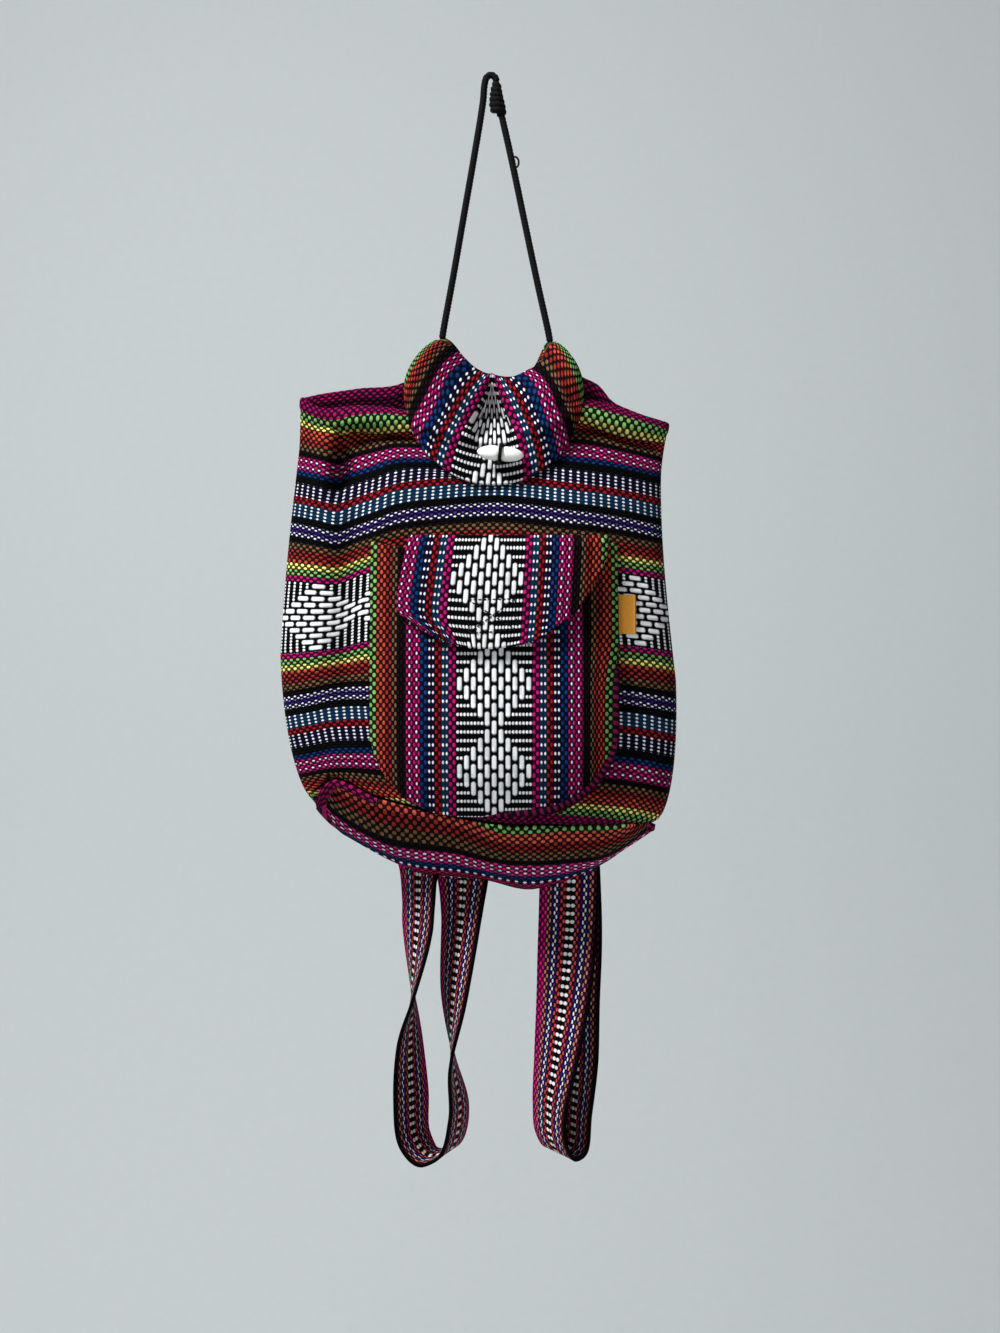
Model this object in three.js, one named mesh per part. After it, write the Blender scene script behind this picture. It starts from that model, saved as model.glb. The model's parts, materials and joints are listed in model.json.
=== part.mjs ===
import * as THREE from 'three';

// A small hand-woven drawstring backpack that hangs from its drawstring.
// Millimetres. +X is right for someone facing the bag, +Y runs back to the wall, +Z is up.
// The origin is the point that the drawstring hangs from.

// Driving dimensions: the sack
const HANG_DROP = 173;
const EXIT_LEFT = -31;
const EXIT_RIGHT = 39;
const EXIT_RISE = 43;
const EXIT_SKEW = 2;
const RIM_WIDTH = 242;
const BELLY_WIDTH = 257;
const BASE_WIDTH = 217;
const BODY_HEIGHT = 270;
const MOUTH_DEPTH = 13;
const BELLY_DEPTH = 58;
const BASE_DEPTH = 58;
const BASE_SAG = 7;
const BASE_TIP = 40;
const RIM_DIP = 16;
const RIM_WAIST = 2;
const SIDE_SLANT = 20;
const BACK_SWELL = 20;
const BELLY_SWAY = 5.5;
const FOLD_DEPTH = 6;
const CREASE_DEPTH = 3.5;
const CLOTH = 2.6;
const SEAM_GAP = 0.6;

// Driving dimensions: the top flap
const FLAP_DROP = 97;
const FLAP_WIDTH = 115;
const FLAP_PUFF = 11;
const FLAP_PLEAT = 10;

// Driving dimensions: the toggle and its cord
const TOGGLE_LENGTH = 30;
const TOGGLE_DIAMETER = 10;
const TOGGLE_WAIST = 8;
const TOGGLE_CORD = 2.4;
const TOGGLE_STANDOFF = 5;
const CORD_EASE = 0.5;
const TOGGLE_TILT = -6;

// Driving dimensions: the pocket, its flap, its fastening and its tag
const POCKET_WIDTH = 157;
const POCKET_HEIGHT = 174;
const POCKET_CORNER = 58;
const POCKET_DROP = 91;
const POCKET_PUFF = 13;
const POCKET_MOUTH_DIP = 10;
const POCKET_FLAP_WIDTH = 150;
const POCKET_FLAP_HEIGHT = 70;
const POCKET_FLAP_TIP = 88;
const PATCH_WIDTH = 32;
const PATCH_HEIGHT = 21;
const PATCH_THICKNESS = 1.2;
const PATCH_GAP = 0.4;
const TAG_WIDTH = 11;
const TAG_HEIGHT = 25;
const TAG_THICKNESS = 1;

// Driving dimensions: the shoulder straps and the drawstring
const STRAP_WIDTH = 40;
const STRAP_THICKNESS = 2.2;
const STRAP_LOOP = 190;
const DRAWSTRING = 4.6;
const KNOT_WIDTH = 9.4;
const KNOT_HEIGHT = 20;

// Levels and places that follow from them
const RIM_Z = -HANG_DROP - EXIT_RISE;
const SEAM_Z = RIM_Z - BODY_HEIGHT;
const RIM_CENTRE = -3.2;
const RIM_Y = -2;
const BACK_Y = 8;
const POCKET_X = 3;
const DEG = Math.PI / 180;

function clamp01(x) {
  return Math.min(Math.max(x, 0), 1);
}

function smooth(x) {
  const s = clamp01(x);
  return s * s * (3 - 2 * s);
}

function mix(a, b, s) {
  return a + (b - a) * s;
}

function bump(x, centre, width) {
  return Math.exp(-(((x - centre) / width) ** 2));
}

// A smooth curve through [x, y] points.
function through(points) {
  const last = points.length - 1;
  const slopes = points.map((point, i) => {
    const before = points[Math.max(i - 1, 0)];
    const after = points[Math.min(i + 1, last)];
    return (after[1] - before[1]) / (after[0] - before[0]);
  });
  return (x) => {
    const at = Math.min(Math.max(x, points[0][0]), points[last][0]);
    let i = 0;
    while (i < last - 1 && at > points[i + 1][0]) i += 1;
    const [x0, y0] = points[i];
    const [x1, y1] = points[i + 1];
    const h = x1 - x0;
    const s = (at - x0) / h;
    const rise = s * s * (3 - 2 * s);
    const lead = s * (1 - s) * (1 - s) * h * slopes[i];
    const trail = s * s * (s - 1) * h * slopes[i + 1];
    return mix(y0, y1, rise) + lead + trail;
  };
}

// A closed solid between two skins of one grid of points.
function skinSolid(columns, rows, outer, inner, wrap) {
  const across = wrap ? columns : columns + 1;
  const positions = [];
  for (const skin of [outer, inner]) {
    for (let j = 0; j <= rows; j += 1) {
      for (let i = 0; i < across; i += 1) positions.push(...skin(i, j).toArray());
    }
  }
  const at = (side, i, j) => (side * (rows + 1) + j) * across + (i % across);
  const faces = [];
  const quad = (a, b, c, d) => faces.push(a, b, c, a, c, d);
  for (let j = 0; j < rows; j += 1) {
    for (let i = 0; i < columns; i += 1) {
      quad(at(0, i, j), at(0, i + 1, j), at(0, i + 1, j + 1), at(0, i, j + 1));
      quad(at(1, i, j), at(1, i, j + 1), at(1, i + 1, j + 1), at(1, i + 1, j));
    }
  }
  for (let i = 0; i < columns; i += 1) {
    quad(at(0, i + 1, 0), at(0, i, 0), at(1, i, 0), at(1, i + 1, 0));
    quad(at(0, i, rows), at(0, i + 1, rows), at(1, i + 1, rows), at(1, i, rows));
  }
  for (let j = 0; j < rows && !wrap; j += 1) {
    quad(at(0, 0, j), at(0, 0, j + 1), at(1, 0, j + 1), at(1, 0, j));
    quad(at(0, columns, j + 1), at(0, columns, j), at(1, columns, j), at(1, columns, j + 1));
  }
  const geometry = new THREE.BufferGeometry();
  geometry.setAttribute('position', new THREE.Float32BufferAttribute(positions, 3));
  geometry.setIndex(facingOut(positions, faces));
  geometry.computeVertexNormals();
  return geometry;
}

// Turns every face over if the solid came out inside out.
function facingOut(positions, faces) {
  const corner = (k) => new THREE.Vector3().fromArray(positions, 3 * faces[k]);
  let volume = 0;
  for (let k = 0; k < faces.length; k += 3) {
    volume += corner(k).dot(corner(k + 1).cross(corner(k + 2)));
  }
  return volume > 0 ? faces : faces.reverse();
}

// A sheet of even thickness about a middle surface of (a, w), a from -1 to 1 and w from 0 to 1.
function sheetSolid(columns, rows, surface, thickness) {
  const step = 0.004;
  const place = (i, j) => [-1 + (2 * i) / columns, j / rows];
  const normal = (a, w) => {
    const alongA = surface(a + step, w).sub(surface(a - step, w));
    const alongW = surface(a, w + step).sub(surface(a, w - step));
    return alongA.cross(alongW).normalize();
  };
  const skin = (side) => (i, j) => {
    const [a, w] = place(i, j);
    return surface(a, w).addScaledVector(normal(a, w), (side * thickness) / 2);
  };
  return skinSolid(columns, rows, skin(1), skin(-1), false);
}

function tubeSolid(points, diameter, sides, steps) {
  const section = new THREE.Shape();
  for (let k = 0; k < sides; k += 1) {
    const angle = (2 * Math.PI * k) / sides;
    const x = (diameter / 2) * Math.cos(angle);
    const y = (diameter / 2) * Math.sin(angle);
    if (k === 0) section.moveTo(x, y);
    else section.lineTo(x, y);
  }
  section.closePath();
  const extrudePath = softCurve(points);
  return new THREE.ExtrudeGeometry(section, { steps, bevelEnabled: false, extrudePath, curveSegments: 1 });
}

function softCurve(points) {
  const places = points.map(([x, y, z]) => new THREE.Vector3(x, y, z));
  return new THREE.CatmullRomCurve3(places, false, 'centripetal');
}

// The sack: t runs from the rim (0) to the base seam (1), q from the left side (-1) to the right (1).
const BELLY_AT = 0.65;
const rimHalf = RIM_WIDTH / 2;
const rimToBelly = through([[0, rimHalf], [0.15, rimHalf - RIM_WAIST], [BELLY_AT, BELLY_WIDTH / 2]]);

function halfWidth(t) {
  if (t < BELLY_AT) return rimToBelly(t);
  const fall = Math.sqrt(1 - clamp01((t - BELLY_AT) / (1 - BELLY_AT)) ** 2);
  return mix(BASE_WIDTH / 2, BELLY_WIDTH / 2, fall);
}

function centreX(t) {
  return RIM_CENTRE - BELLY_SWAY * Math.sin(Math.PI * clamp01(t) ** 0.8);
}

const sideY = through([[0, RIM_Y], [0.5, -0.65 * SIDE_SLANT], [1, -SIDE_SLANT]]);
const frontDepth = through([
  [0, MOUTH_DEPTH / 2],
  [0.15, 0.3 * BELLY_DEPTH],
  [0.35, 0.52 * BELLY_DEPTH],
  [BELLY_AT, 0.59 * BELLY_DEPTH],
  [0.87, 0.57 * BELLY_DEPTH],
  [1, 0.5 * BASE_DEPTH],
]);
const backDepth = through([
  [0, MOUTH_DEPTH / 2],
  [0.3, BACK_Y + 0.45 * BACK_SWELL],
  [0.6, BACK_Y + 0.75 * BACK_SWELL],
  [1, BACK_Y + BACK_SWELL],
]);

const exitQ = (x) => (x - RIM_CENTRE) / rimHalf;
const flapMiddle = (EXIT_LEFT + EXIT_RIGHT) / 2;
const inUnits = (unit, points) => through(points.map(([q, share]) => [q, share * unit]));
const rimFront = inUnits(RIM_DIP, [
  [-1, 0.47], [-0.71, -0.03], [-0.4, -0.25], [0, -1], [0.3, -0.5],
  [0.54, 0.25], [0.69, 0], [0.8, -0.25], [1, -0.62],
]);
const rimBack = inUnits(RIM_DIP, [
  [-1, 0.47], [-0.71, 0.81], [-0.44, 1.12],
  [exitQ(EXIT_LEFT), EXIT_RISE / RIM_DIP],
  [exitQ(mix(EXIT_LEFT, flapMiddle, 0.4)), (0.6 * EXIT_RISE) / RIM_DIP],
  [exitQ(flapMiddle), 0.94],
  [exitQ(mix(flapMiddle, EXIT_RIGHT, 0.7)), (0.46 * EXIT_RISE) / RIM_DIP],
  [exitQ(EXIT_RIGHT), (EXIT_RISE - EXIT_SKEW) / RIM_DIP],
  [0.51, 1.44], [0.63, 0.94], [0.7, 0.31], [0.8, -0.06], [1, -0.62],
]);
const seamFront = inUnits(BASE_TIP, [
  [-1, 0.325], [-0.83, 0.7], [-0.62, 0.4], [0, 0.025], [0.45, -0.05], [1, -0.05],
]);
const seamBack = inUnits(BASE_TIP, [
  [-1, 0.325], [-0.85, -0.325], [-0.42, -0.85], [0, -1], [0.3, -1.15], [0.72, -0.7], [1, -0.05],
]);

// Drapes of the front: an upright fold at the left, and creases that the drawstring casing pulls.
function drape(q, t) {
  const reach = smooth((t - 0.15) / 0.2) * smooth((0.85 - t) / 0.2);
  const fold = FOLD_DEPTH * (bump(q, -0.65, 0.085) - 0.35 * bump(q, -0.82, 0.09)) * reach;
  const crease = CREASE_DEPTH * bump(t, 0.1, 0.035) * (bump(q, -0.6, 0.2) + bump(q, 0.75, 0.2));
  return fold + crease;
}

function frontPoint(q, t, inset) {
  const z = mix(RIM_Z + rimFront(q), SEAM_Z + seamFront(q) + inset, t);
  const y = sideY(t) - (frontDepth(t) - inset) * (1 - q * q) ** 0.4 + drape(q, t);
  return new THREE.Vector3(centreX(t) + (halfWidth(t) - inset) * q, y, z);
}

function backPoint(q, t, inset) {
  const z = mix(RIM_Z + rimBack(q), SEAM_Z + seamBack(q) + inset, t);
  const y = sideY(t) + (backDepth(t) - inset) * (1 - q * q) ** 0.3;
  return new THREE.Vector3(centreX(t) + (halfWidth(t) - inset) * q, y, z);
}

// Where an upright line at (x, z) meets the front or the back of the sack.
function surfaceY(panel, rim, seam, x, z) {
  let t = 0.5;
  let q = 0;
  for (let round = 0; round < 8; round += 1) {
    q = Math.min(Math.max((x - centreX(t)) / halfWidth(t), -0.98), 0.98);
    t = clamp01((RIM_Z + rim(q) - z) / (RIM_Z + rim(q) - SEAM_Z - seam(q)));
  }
  return panel(q, t, 0).y;
}

const frontY = (x, z) => surfaceY(frontPoint, rimFront, seamFront, x, z);
const backY = (x, z) => surfaceY(backPoint, rimBack, seamBack, x, z);

const PANEL_COLUMNS = 34;
const BODY_ROWS = [
  0, 0.03, 0.065, 0.1, 0.135, 0.18, 0.25, 0.33, 0.41, 0.5, 0.58, 0.66, 0.74, 0.81, 0.88, 0.94, 1,
];

function bodyGeometry() {
  const skin = (inset) => (i, j) => {
    const q = -Math.cos((Math.PI * i) / PANEL_COLUMNS);
    return i <= PANEL_COLUMNS ? frontPoint(q, BODY_ROWS[j], inset) : backPoint(q, BODY_ROWS[j], inset);
  };
  return skinSolid(2 * PANEL_COLUMNS, BODY_ROWS.length - 1, skin(0), skin(CLOTH), true);
}

// The oval base hangs just under the sack's lower edge and tips forward.
function baseGeometry() {
  const rows = 10;
  const end = 0.995;
  const skin = (drop) => (i, j) => {
    const q = -end * Math.cos((Math.PI * i) / PANEL_COLUMNS);
    const s = j / rows;
    const point = frontPoint(q, 1, 0).lerp(backPoint(q, 1, 0), s);
    const sag = BASE_SAG * Math.sin(Math.PI * s) * (1 - q * q) ** 0.3;
    return point.add(new THREE.Vector3(0, -0.5 * sag, -SEAM_GAP - drop - 0.87 * sag));
  };
  return skinSolid(PANEL_COLUMNS, rows, skin(CLOTH), skin(0), false);
}

// The top flap: a runs across it and w from its root on the back rim down to its free edge.
const FLAP_SHOULDER = 35;
const FLAP_HORN = 5;
const FLAP_LEAN_LEFT = 6;
const FLAP_LEAN_RIGHT = 1;
const FLAP_EDGE_X = 2.5;
const flapEdgeZ = -HANG_DROP - FLAP_SHOULDER;
const PLEAT_HALF = 0.33;
const flapRootX = through([
  [-1, EXIT_LEFT - FLAP_HORN],
  [-0.86, EXIT_LEFT],
  [-PLEAT_HALF, flapMiddle - FLAP_LEAN_LEFT],
  [PLEAT_HALF, flapMiddle + FLAP_LEAN_RIGHT],
  [0.86, EXIT_RIGHT],
  [1, EXIT_RIGHT + FLAP_HORN],
]);

const FLAP_SEAT = 3.6;
const RIM_CLEAR = 6;

function flapPoint(a, w) {
  const rootX = flapRootX(a);
  const slack = 0.5 * bump(a, 0, PLEAT_HALF) + 0.55 * bump(Math.abs(a), 2 * PLEAT_HALF, 0.1);
  const seat = FLAP_SEAT * (1 + slack);
  const rootZ = RIM_Z + rimBack(exitQ(rootX)) + SEAM_GAP + CLOTH / 2 + seat;
  const angle = 98 * DEG * a;
  const edgeX = FLAP_EDGE_X + (FLAP_WIDTH / 2) * Math.sin(angle);
  const edgeZ = flapEdgeZ - (FLAP_DROP - FLAP_SHOULDER) * Math.cos(angle);
  const x = mix(rootX, edgeX, 1 - clamp01(1 - w) ** 1.5);
  const z = mix(rootZ, edgeZ, w);
  const wing = Math.sin(Math.PI * clamp01(Math.abs(a)) ** 0.8) * Math.sin(Math.PI * clamp01(w) ** 0.8);
  const pleat = bump(a, 0, 0.22) * (1 - smooth(w / 0.85)) * smooth(w / 0.12);
  const aboveRim = z - RIM_Z - rimFront(exitQ(x));
  const rest = frontY(x, z - Math.max(aboveRim, 0)) - SEAM_GAP - CLOTH;
  const hang = mix(backPoint(exitQ(rootX), 0, CLOTH / 2).y, rest, 1 - (1 - clamp01(w)) ** 2.6);
  const mouth = backPoint(exitQ(x), 0, CLOTH).y - SEAM_GAP - CLOTH;
  const loose = hang - FLAP_PUFF * wing;
  const pleated = Math.min(loose + FLAP_PLEAT * pleat, Math.max(loose, mouth));
  return new THREE.Vector3(x, aboveRim < RIM_CLEAR ? Math.min(pleated, rest) : pleated, z);
}

function topFlapGeometry() {
  return sheetSolid(28, 16, flapPoint, CLOTH);
}

// The pocket: how far its cloth stands off the front of the sack.
const pocketTop = RIM_Z - POCKET_DROP;
const pocketHalf = POCKET_WIDTH / 2;
const pocketPuff = through([[0, 0.78], [0.4, 1], [0.8, 0.85], [1, 0]]);

function pocketLength(x) {
  const into = clamp01((Math.abs(x) - (pocketHalf - POCKET_CORNER)) / POCKET_CORNER);
  return POCKET_HEIGHT - POCKET_CORNER * (1 - Math.sqrt(1 - into * into));
}

function pocketMouth(x) {
  return pocketTop - POCKET_MOUTH_DIP * (1 - clamp01(Math.abs(x) / pocketHalf) ** 2);
}

function pocketLift(x, z) {
  const side = clamp01(Math.abs(x) / pocketHalf);
  const down = clamp01((pocketMouth(x) - z) / (pocketMouth(x) - pocketTop + pocketLength(x)));
  return SEAM_GAP + POCKET_PUFF * (1 - side ** 4) ** 0.8 * pocketPuff(down);
}

function onFront(x, z, lift) {
  return new THREE.Vector3(POCKET_X + x, frontY(POCKET_X + x, z) - lift, z);
}

function pocketGeometry() {
  const columns = 22;
  const rows = 16;
  const skin = (thick) => (i, j) => {
    const x = pocketHalf * Math.sin((Math.PI / 2) * (-1 + (2 * i) / columns));
    const z = mix(pocketMouth(x), pocketTop - pocketLength(x), Math.sin(((Math.PI / 2) * j) / rows));
    return onFront(x, z, pocketLift(x, z) + thick);
  };
  return skinSolid(columns, rows, skin(CLOTH), skin(0), false);
}

// The pocket's flap is sewn above the pocket's mouth and lies over it and over the fastening.
const POCKET_FLAP_SEAM = 4;
const pocketFlapTop = pocketTop + POCKET_FLAP_SEAM;
const FASTENING = 2 * PATCH_THICKNESS + 3 * PATCH_GAP;

function pocketFlapGeometry() {
  const columns = 18;
  const rows = 14;
  const top = POCKET_FLAP_WIDTH / 2;
  const width = through([[0, top], [0.6, 0.76 * top], [1, POCKET_FLAP_TIP / 2]]);
  const skin = (thick) => (i, j) => {
    const a = -1 + (2 * i) / columns;
    const w = (j / rows) ** 1.3;
    const x = a * width(w);
    const z = pocketFlapTop - POCKET_FLAP_HEIGHT * w * (1 - 0.16 * a * a * w);
    const over = smooth((pocketFlapTop - z) / (0.85 * (pocketFlapTop - pocketMouth(x))));
    const onPocket = pocketLift(x, z) + CLOTH + mix(SEAM_GAP, FASTENING, smooth(w / 0.6));
    return onFront(x, z, mix(SEAM_GAP, onPocket, over) + thick);
  };
  return skinSolid(columns, rows, skin(CLOTH), skin(0), false);
}

// Two fastening patches face each other under the tip of the pocket's flap.
const patchMiddle = pocketFlapTop - 0.76 * POCKET_FLAP_HEIGHT;

function patchGeometry(layer) {
  const columns = 6;
  const rows = 5;
  const skin = (thick) => (i, j) => {
    const x = PATCH_WIDTH * (i / columns - 0.5);
    const z = patchMiddle + PATCH_HEIGHT * (0.5 - j / rows);
    const under = CLOTH + PATCH_GAP + layer * (PATCH_THICKNESS + PATCH_GAP);
    return onFront(x, z, pocketLift(x, z) + under + thick);
  };
  return skinSolid(columns, rows, skin(PATCH_THICKNESS), skin(0), false);
}

// A plain folded tag caught in the pocket's right seam.
const TAG_BELOW = 34;

function tagGeometry() {
  const columns = 3;
  const rows = 4;
  const skin = (thick) => (i, j) => {
    const x = pocketHalf + SEAM_GAP + (TAG_WIDTH * i) / columns;
    const z = pocketTop - TAG_BELOW - (TAG_HEIGHT * j) / rows;
    return onFront(x, z, SEAM_GAP + thick);
  };
  return skinSolid(columns, rows, skin(TAG_THICKNESS), skin(0), false);
}

// The toggle stands in front of the flap near its tip, and its cord loops round its waist.
const TOGGLE_ACROSS = 0.05;
const TOGGLE_DOWN = 0.8;
const flapAtToggle = (down) => flapPoint(TOGGLE_ACROSS, TOGGLE_DOWN + down);
const flapFall = flapAtToggle(0.05).sub(flapAtToggle(-0.05));
const toggleGroup = new THREE.Group();
toggleGroup.position.copy(flapAtToggle(0));
toggleGroup.rotation.x = Math.atan2(flapFall.y, -flapFall.z);
const toggleAxisY = -CLOTH / 2 - TOGGLE_STANDOFF - TOGGLE_DIAMETER / 2;

function toggleGeometry() {
  const half = TOGGLE_LENGTH / 2;
  const profile = [new THREE.Vector2(0, -half)];
  const stations = 12;
  for (let k = 1; k < stations; k += 1) {
    const along = -Math.cos((Math.PI * k) / stations);
    const body = (TOGGLE_DIAMETER / 2) * (1 - Math.abs(along) ** 2.6) ** 0.55;
    const waist = (TOGGLE_DIAMETER - TOGGLE_WAIST) / 2;
    profile.push(new THREE.Vector2(body - waist * bump(along, 0, 0.14), half * along));
  }
  profile.push(new THREE.Vector2(0, half));
  return new THREE.LatheGeometry(profile, 16).rotateZ(Math.PI / 2);
}

function toggleCordGeometry() {
  const radius = TOGGLE_WAIST / 2 + TOGGLE_CORD / 2 + CORD_EASE;
  const leg = TOGGLE_CORD / 2 + 0.6 * CORD_EASE;
  const start = -toggleAxisY - CLOTH / 2 - 2.8 * SEAM_GAP;
  const points = [[0, start, leg]];
  const opening = 50;
  for (let angle = opening; angle <= 360 - opening; angle += 26) {
    points.push([0, radius * Math.cos(angle * DEG), radius * Math.sin(angle * DEG)]);
  }
  points.push([0, start, -leg]);
  return tubeSolid(points, TOGGLE_CORD, 8, 26);
}

// The shoulder straps: a ribbon along stations [x, y, z, turn], turn in degrees about the upright,
// from one station number to another.
function strapGeometry(stations, rows, from = 0, to = stations.length - 1) {
  const place = softCurve(stations);
  const turns = through(stations.map((station, k) => [k / (stations.length - 1), station[3]]));
  const surface = (a, w) => {
    const along = clamp01(w);
    const tangent = place.getTangent(along);
    const turn = turns(along) * DEG;
    const side = new THREE.Vector3(Math.cos(turn), Math.sin(turn), 0);
    side.addScaledVector(tangent, -side.dot(tangent)).normalize();
    const beyond = tangent.multiplyScalar((w - along) * STRAP_LOOP);
    return place.getPoint(along).addScaledVector(side, (a * STRAP_WIDTH) / 2).add(beyond);
  };
  const last = stations.length - 1;
  return sheetSolid(2, rows, (a, w) => surface(a, mix(from, to, w) / last), STRAP_THICKNESS);
}

// A strap lies flat on the back from its upper end, hangs in a loop, and is sewn at the base seam.
const STRAP_TOP = 6;
const strapLow = SEAM_Z - BASE_TIP;
const loopZ = (share) => strapLow - share * STRAP_LOOP;
const panelZ = (share) => mix(RIM_Z - STRAP_TOP, SEAM_Z, share);

// A station flat against the back, layer by layer, with across in strap widths.
function behind(across, z, layer = 0, turn = 0) {
  const x = across * STRAP_WIDTH;
  const backs = [-0.5, 0, 0.5].map((side) => backY(x + side * STRAP_WIDTH, z));
  const off = 1.5 * SEAM_GAP + STRAP_THICKNESS / 2 + layer * (STRAP_THICKNESS + SEAM_GAP);
  return [x, Math.max(...backs) + off, z, turn];
}

// A station of the hanging loop, with across and out in strap widths and share down the loop.
function hanging(across, out, share, turn) {
  return [across * STRAP_WIDTH, BACK_Y + out * STRAP_WIDTH, loopZ(share), turn];
}

const strapLeft = [
  behind(-0.5, panelZ(0)), behind(-0.55, panelZ(0.24)), behind(-0.6, panelZ(0.545)),
  behind(-0.575, panelZ(0.77)), behind(-0.5, panelZ(1)), behind(-0.475, loopZ(-0.1), 1, -4),
  hanging(-0.45, 0.15, 0.084, -18), hanging(-0.475, 0.15, 0.158, -45), hanging(-0.55, 0.15, 0.432, -64),
  hanging(-0.575, 0.15, 0.658, -92), hanging(-0.5, 0.1, 0.832, -107), hanging(-0.675, 0.1, 0.968, -110),
  hanging(-1.025, 0.15, 1, -112), hanging(-1.25, 0.2, 0.926, -118), hanging(-1.325, 0.225, 0.779, -122),
  hanging(-1.35, 0.225, 0.579, -110), hanging(-1.3, 0.2, 0.421, -86), hanging(-1.225, 0.175, 0.211, -60),
  hanging(-1.2, 0.15, 0.095, -43), behind(-1.2, loopZ(0.02), 0.25, -4),
  behind(-1.2, SEAM_Z - 0.55 * BASE_TIP),
];
const strapRight = [
  behind(0.5, panelZ(0)), behind(0.7, panelZ(0.24)), behind(0.95, panelZ(0.545)),
  behind(1.2, panelZ(0.77)), behind(1.325, panelZ(1)), behind(1.325, loopZ(-0.1), 1),
  hanging(1.375, 0.225, 0.158, -6), hanging(1.4, 0.35, 0.432, -30), hanging(1.45, 0.4, 0.658, -46),
  hanging(1.425, 0.4, 0.832, -58), hanging(1.35, 0.35, 0.968, -60), hanging(1.175, 0.275, 0.984, -60),
  hanging(1, 0.175, 0.926, -60), hanging(0.95, 0.1, 0.816, -58), hanging(1.05, 0.05, 0.632, -45),
  hanging(1.15, 0.025, 0.432, -32), hanging(1.25, 0.05, 0.211, -14), hanging(1.3, 0.05, 0.042, -3),
  behind(1.325, SEAM_Z - 0.8 * BASE_TIP), behind(1.325, SEAM_Z - 0.55 * BASE_TIP),
];

// The right strap is two solids that meet at the bottom of its loop, just clear of each other.
const rightBend = 11;
const BEND_CLEAR = 0.02;

// The drawstring: two legs rise from its exits, and the left one goes over the hang point to a knot.
const exitZ = -HANG_DROP + CLOTH + SEAM_GAP + FLAP_SEAT;
const drawstringLeft = [
  [EXIT_LEFT, 1, exitZ], [-24.2, 0.5, -129], [-17.4, 0.3, -90], [-10.4, 0, -50], [-4.6, 0, -14],
  [-3.6, 0, -3], [-2.2, 0, 2], [0.6, 0, 3.6], [3.4, 0, 2], [4.8, 0, -1.4],
];
const drawstringRight = [
  [7.6, 0, -22.6], [14, 0, -51], [22.6, 0.3, -92], [30.8, 0.5, -131], [EXIT_RIGHT, 1, exitZ - EXIT_SKEW],
];

const KNOT_AT = [6, 0, -12];

function knotGeometry() {
  const profile = [new THREE.Vector2(0, -KNOT_HEIGHT / 2)];
  const stations = 10;
  for (let k = 1; k < stations; k += 1) {
    const along = -Math.cos((Math.PI * k) / stations);
    const round = (KNOT_WIDTH / 2) * (1 - along ** 4) ** 0.5;
    profile.push(new THREE.Vector2(round * (1 - 0.1 * bump(along, 0.1, 0.16)), (KNOT_HEIGHT / 2) * along));
  }
  profile.push(new THREE.Vector2(0, KNOT_HEIGHT / 2));
  return new THREE.LatheGeometry(profile, 14).rotateX(Math.PI / 2);
}

// Finishes
function finish(colour, roughness) {
  return new THREE.MeshStandardMaterial({ color: colour, roughness, metalness: 0 });
}

const backpack = new THREE.Group();

function add(parent, name, geometry, material) {
  const mesh = new THREE.Mesh(geometry, material);
  mesh.name = name;
  parent.add(mesh);
  return mesh;
}

add(backpack, 'body_panel', bodyGeometry(), finish(0x6b2a4a, 0.9));
add(backpack, 'base_panel', baseGeometry(), finish(0x9a3a28, 0.9));
add(backpack, 'top_flap', topFlapGeometry(), finish(0x8a2b50, 0.9));
add(backpack, 'pocket_panel', pocketGeometry(), finish(0x7d7f86, 0.9));
add(backpack, 'pocket_flap', pocketFlapGeometry(), finish(0x8a2b50, 0.9));
add(backpack, 'pocket_loop_patch', patchGeometry(0), finish(0x101014, 0.95));
add(backpack, 'pocket_hook_patch', patchGeometry(1), finish(0x101014, 0.8));
add(backpack, 'label_tag', tagGeometry(), finish(0xeba528, 0.7));
add(backpack, 'drawstring_left', tubeSolid(drawstringLeft, DRAWSTRING, 8, 36), finish(0x0c0b0d, 0.9));
add(backpack, 'drawstring_right', tubeSolid(drawstringRight, DRAWSTRING, 8, 16), finish(0x0c0b0d, 0.9));
const webbing = finish(0x5a2230, 0.9);
add(backpack, 'strap_left', strapGeometry(strapLeft, 56), webbing);
add(backpack, 'strap_right', strapGeometry(strapRight, 36, 0, rightBend - BEND_CLEAR), webbing);
add(backpack, 'strap_right_front', strapGeometry(strapRight, 26, rightBend + BEND_CLEAR), webbing);

const knot = add(backpack, 'drawstring_knot', knotGeometry(), finish(0x0c0b0d, 0.9));
knot.position.set(...KNOT_AT);

const toggleSpin = new THREE.Group();
toggleSpin.position.y = toggleAxisY;
toggleSpin.rotation.y = -TOGGLE_TILT * DEG;
toggleGroup.add(toggleSpin);
add(toggleSpin, 'toggle', toggleGeometry(), finish(0xf0eee6, 0.5));
add(toggleSpin, 'toggle_cord', toggleCordGeometry(), finish(0x0c0b0d, 0.9));
backpack.add(toggleGroup);

export default backpack;
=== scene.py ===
import json
import math

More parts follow.
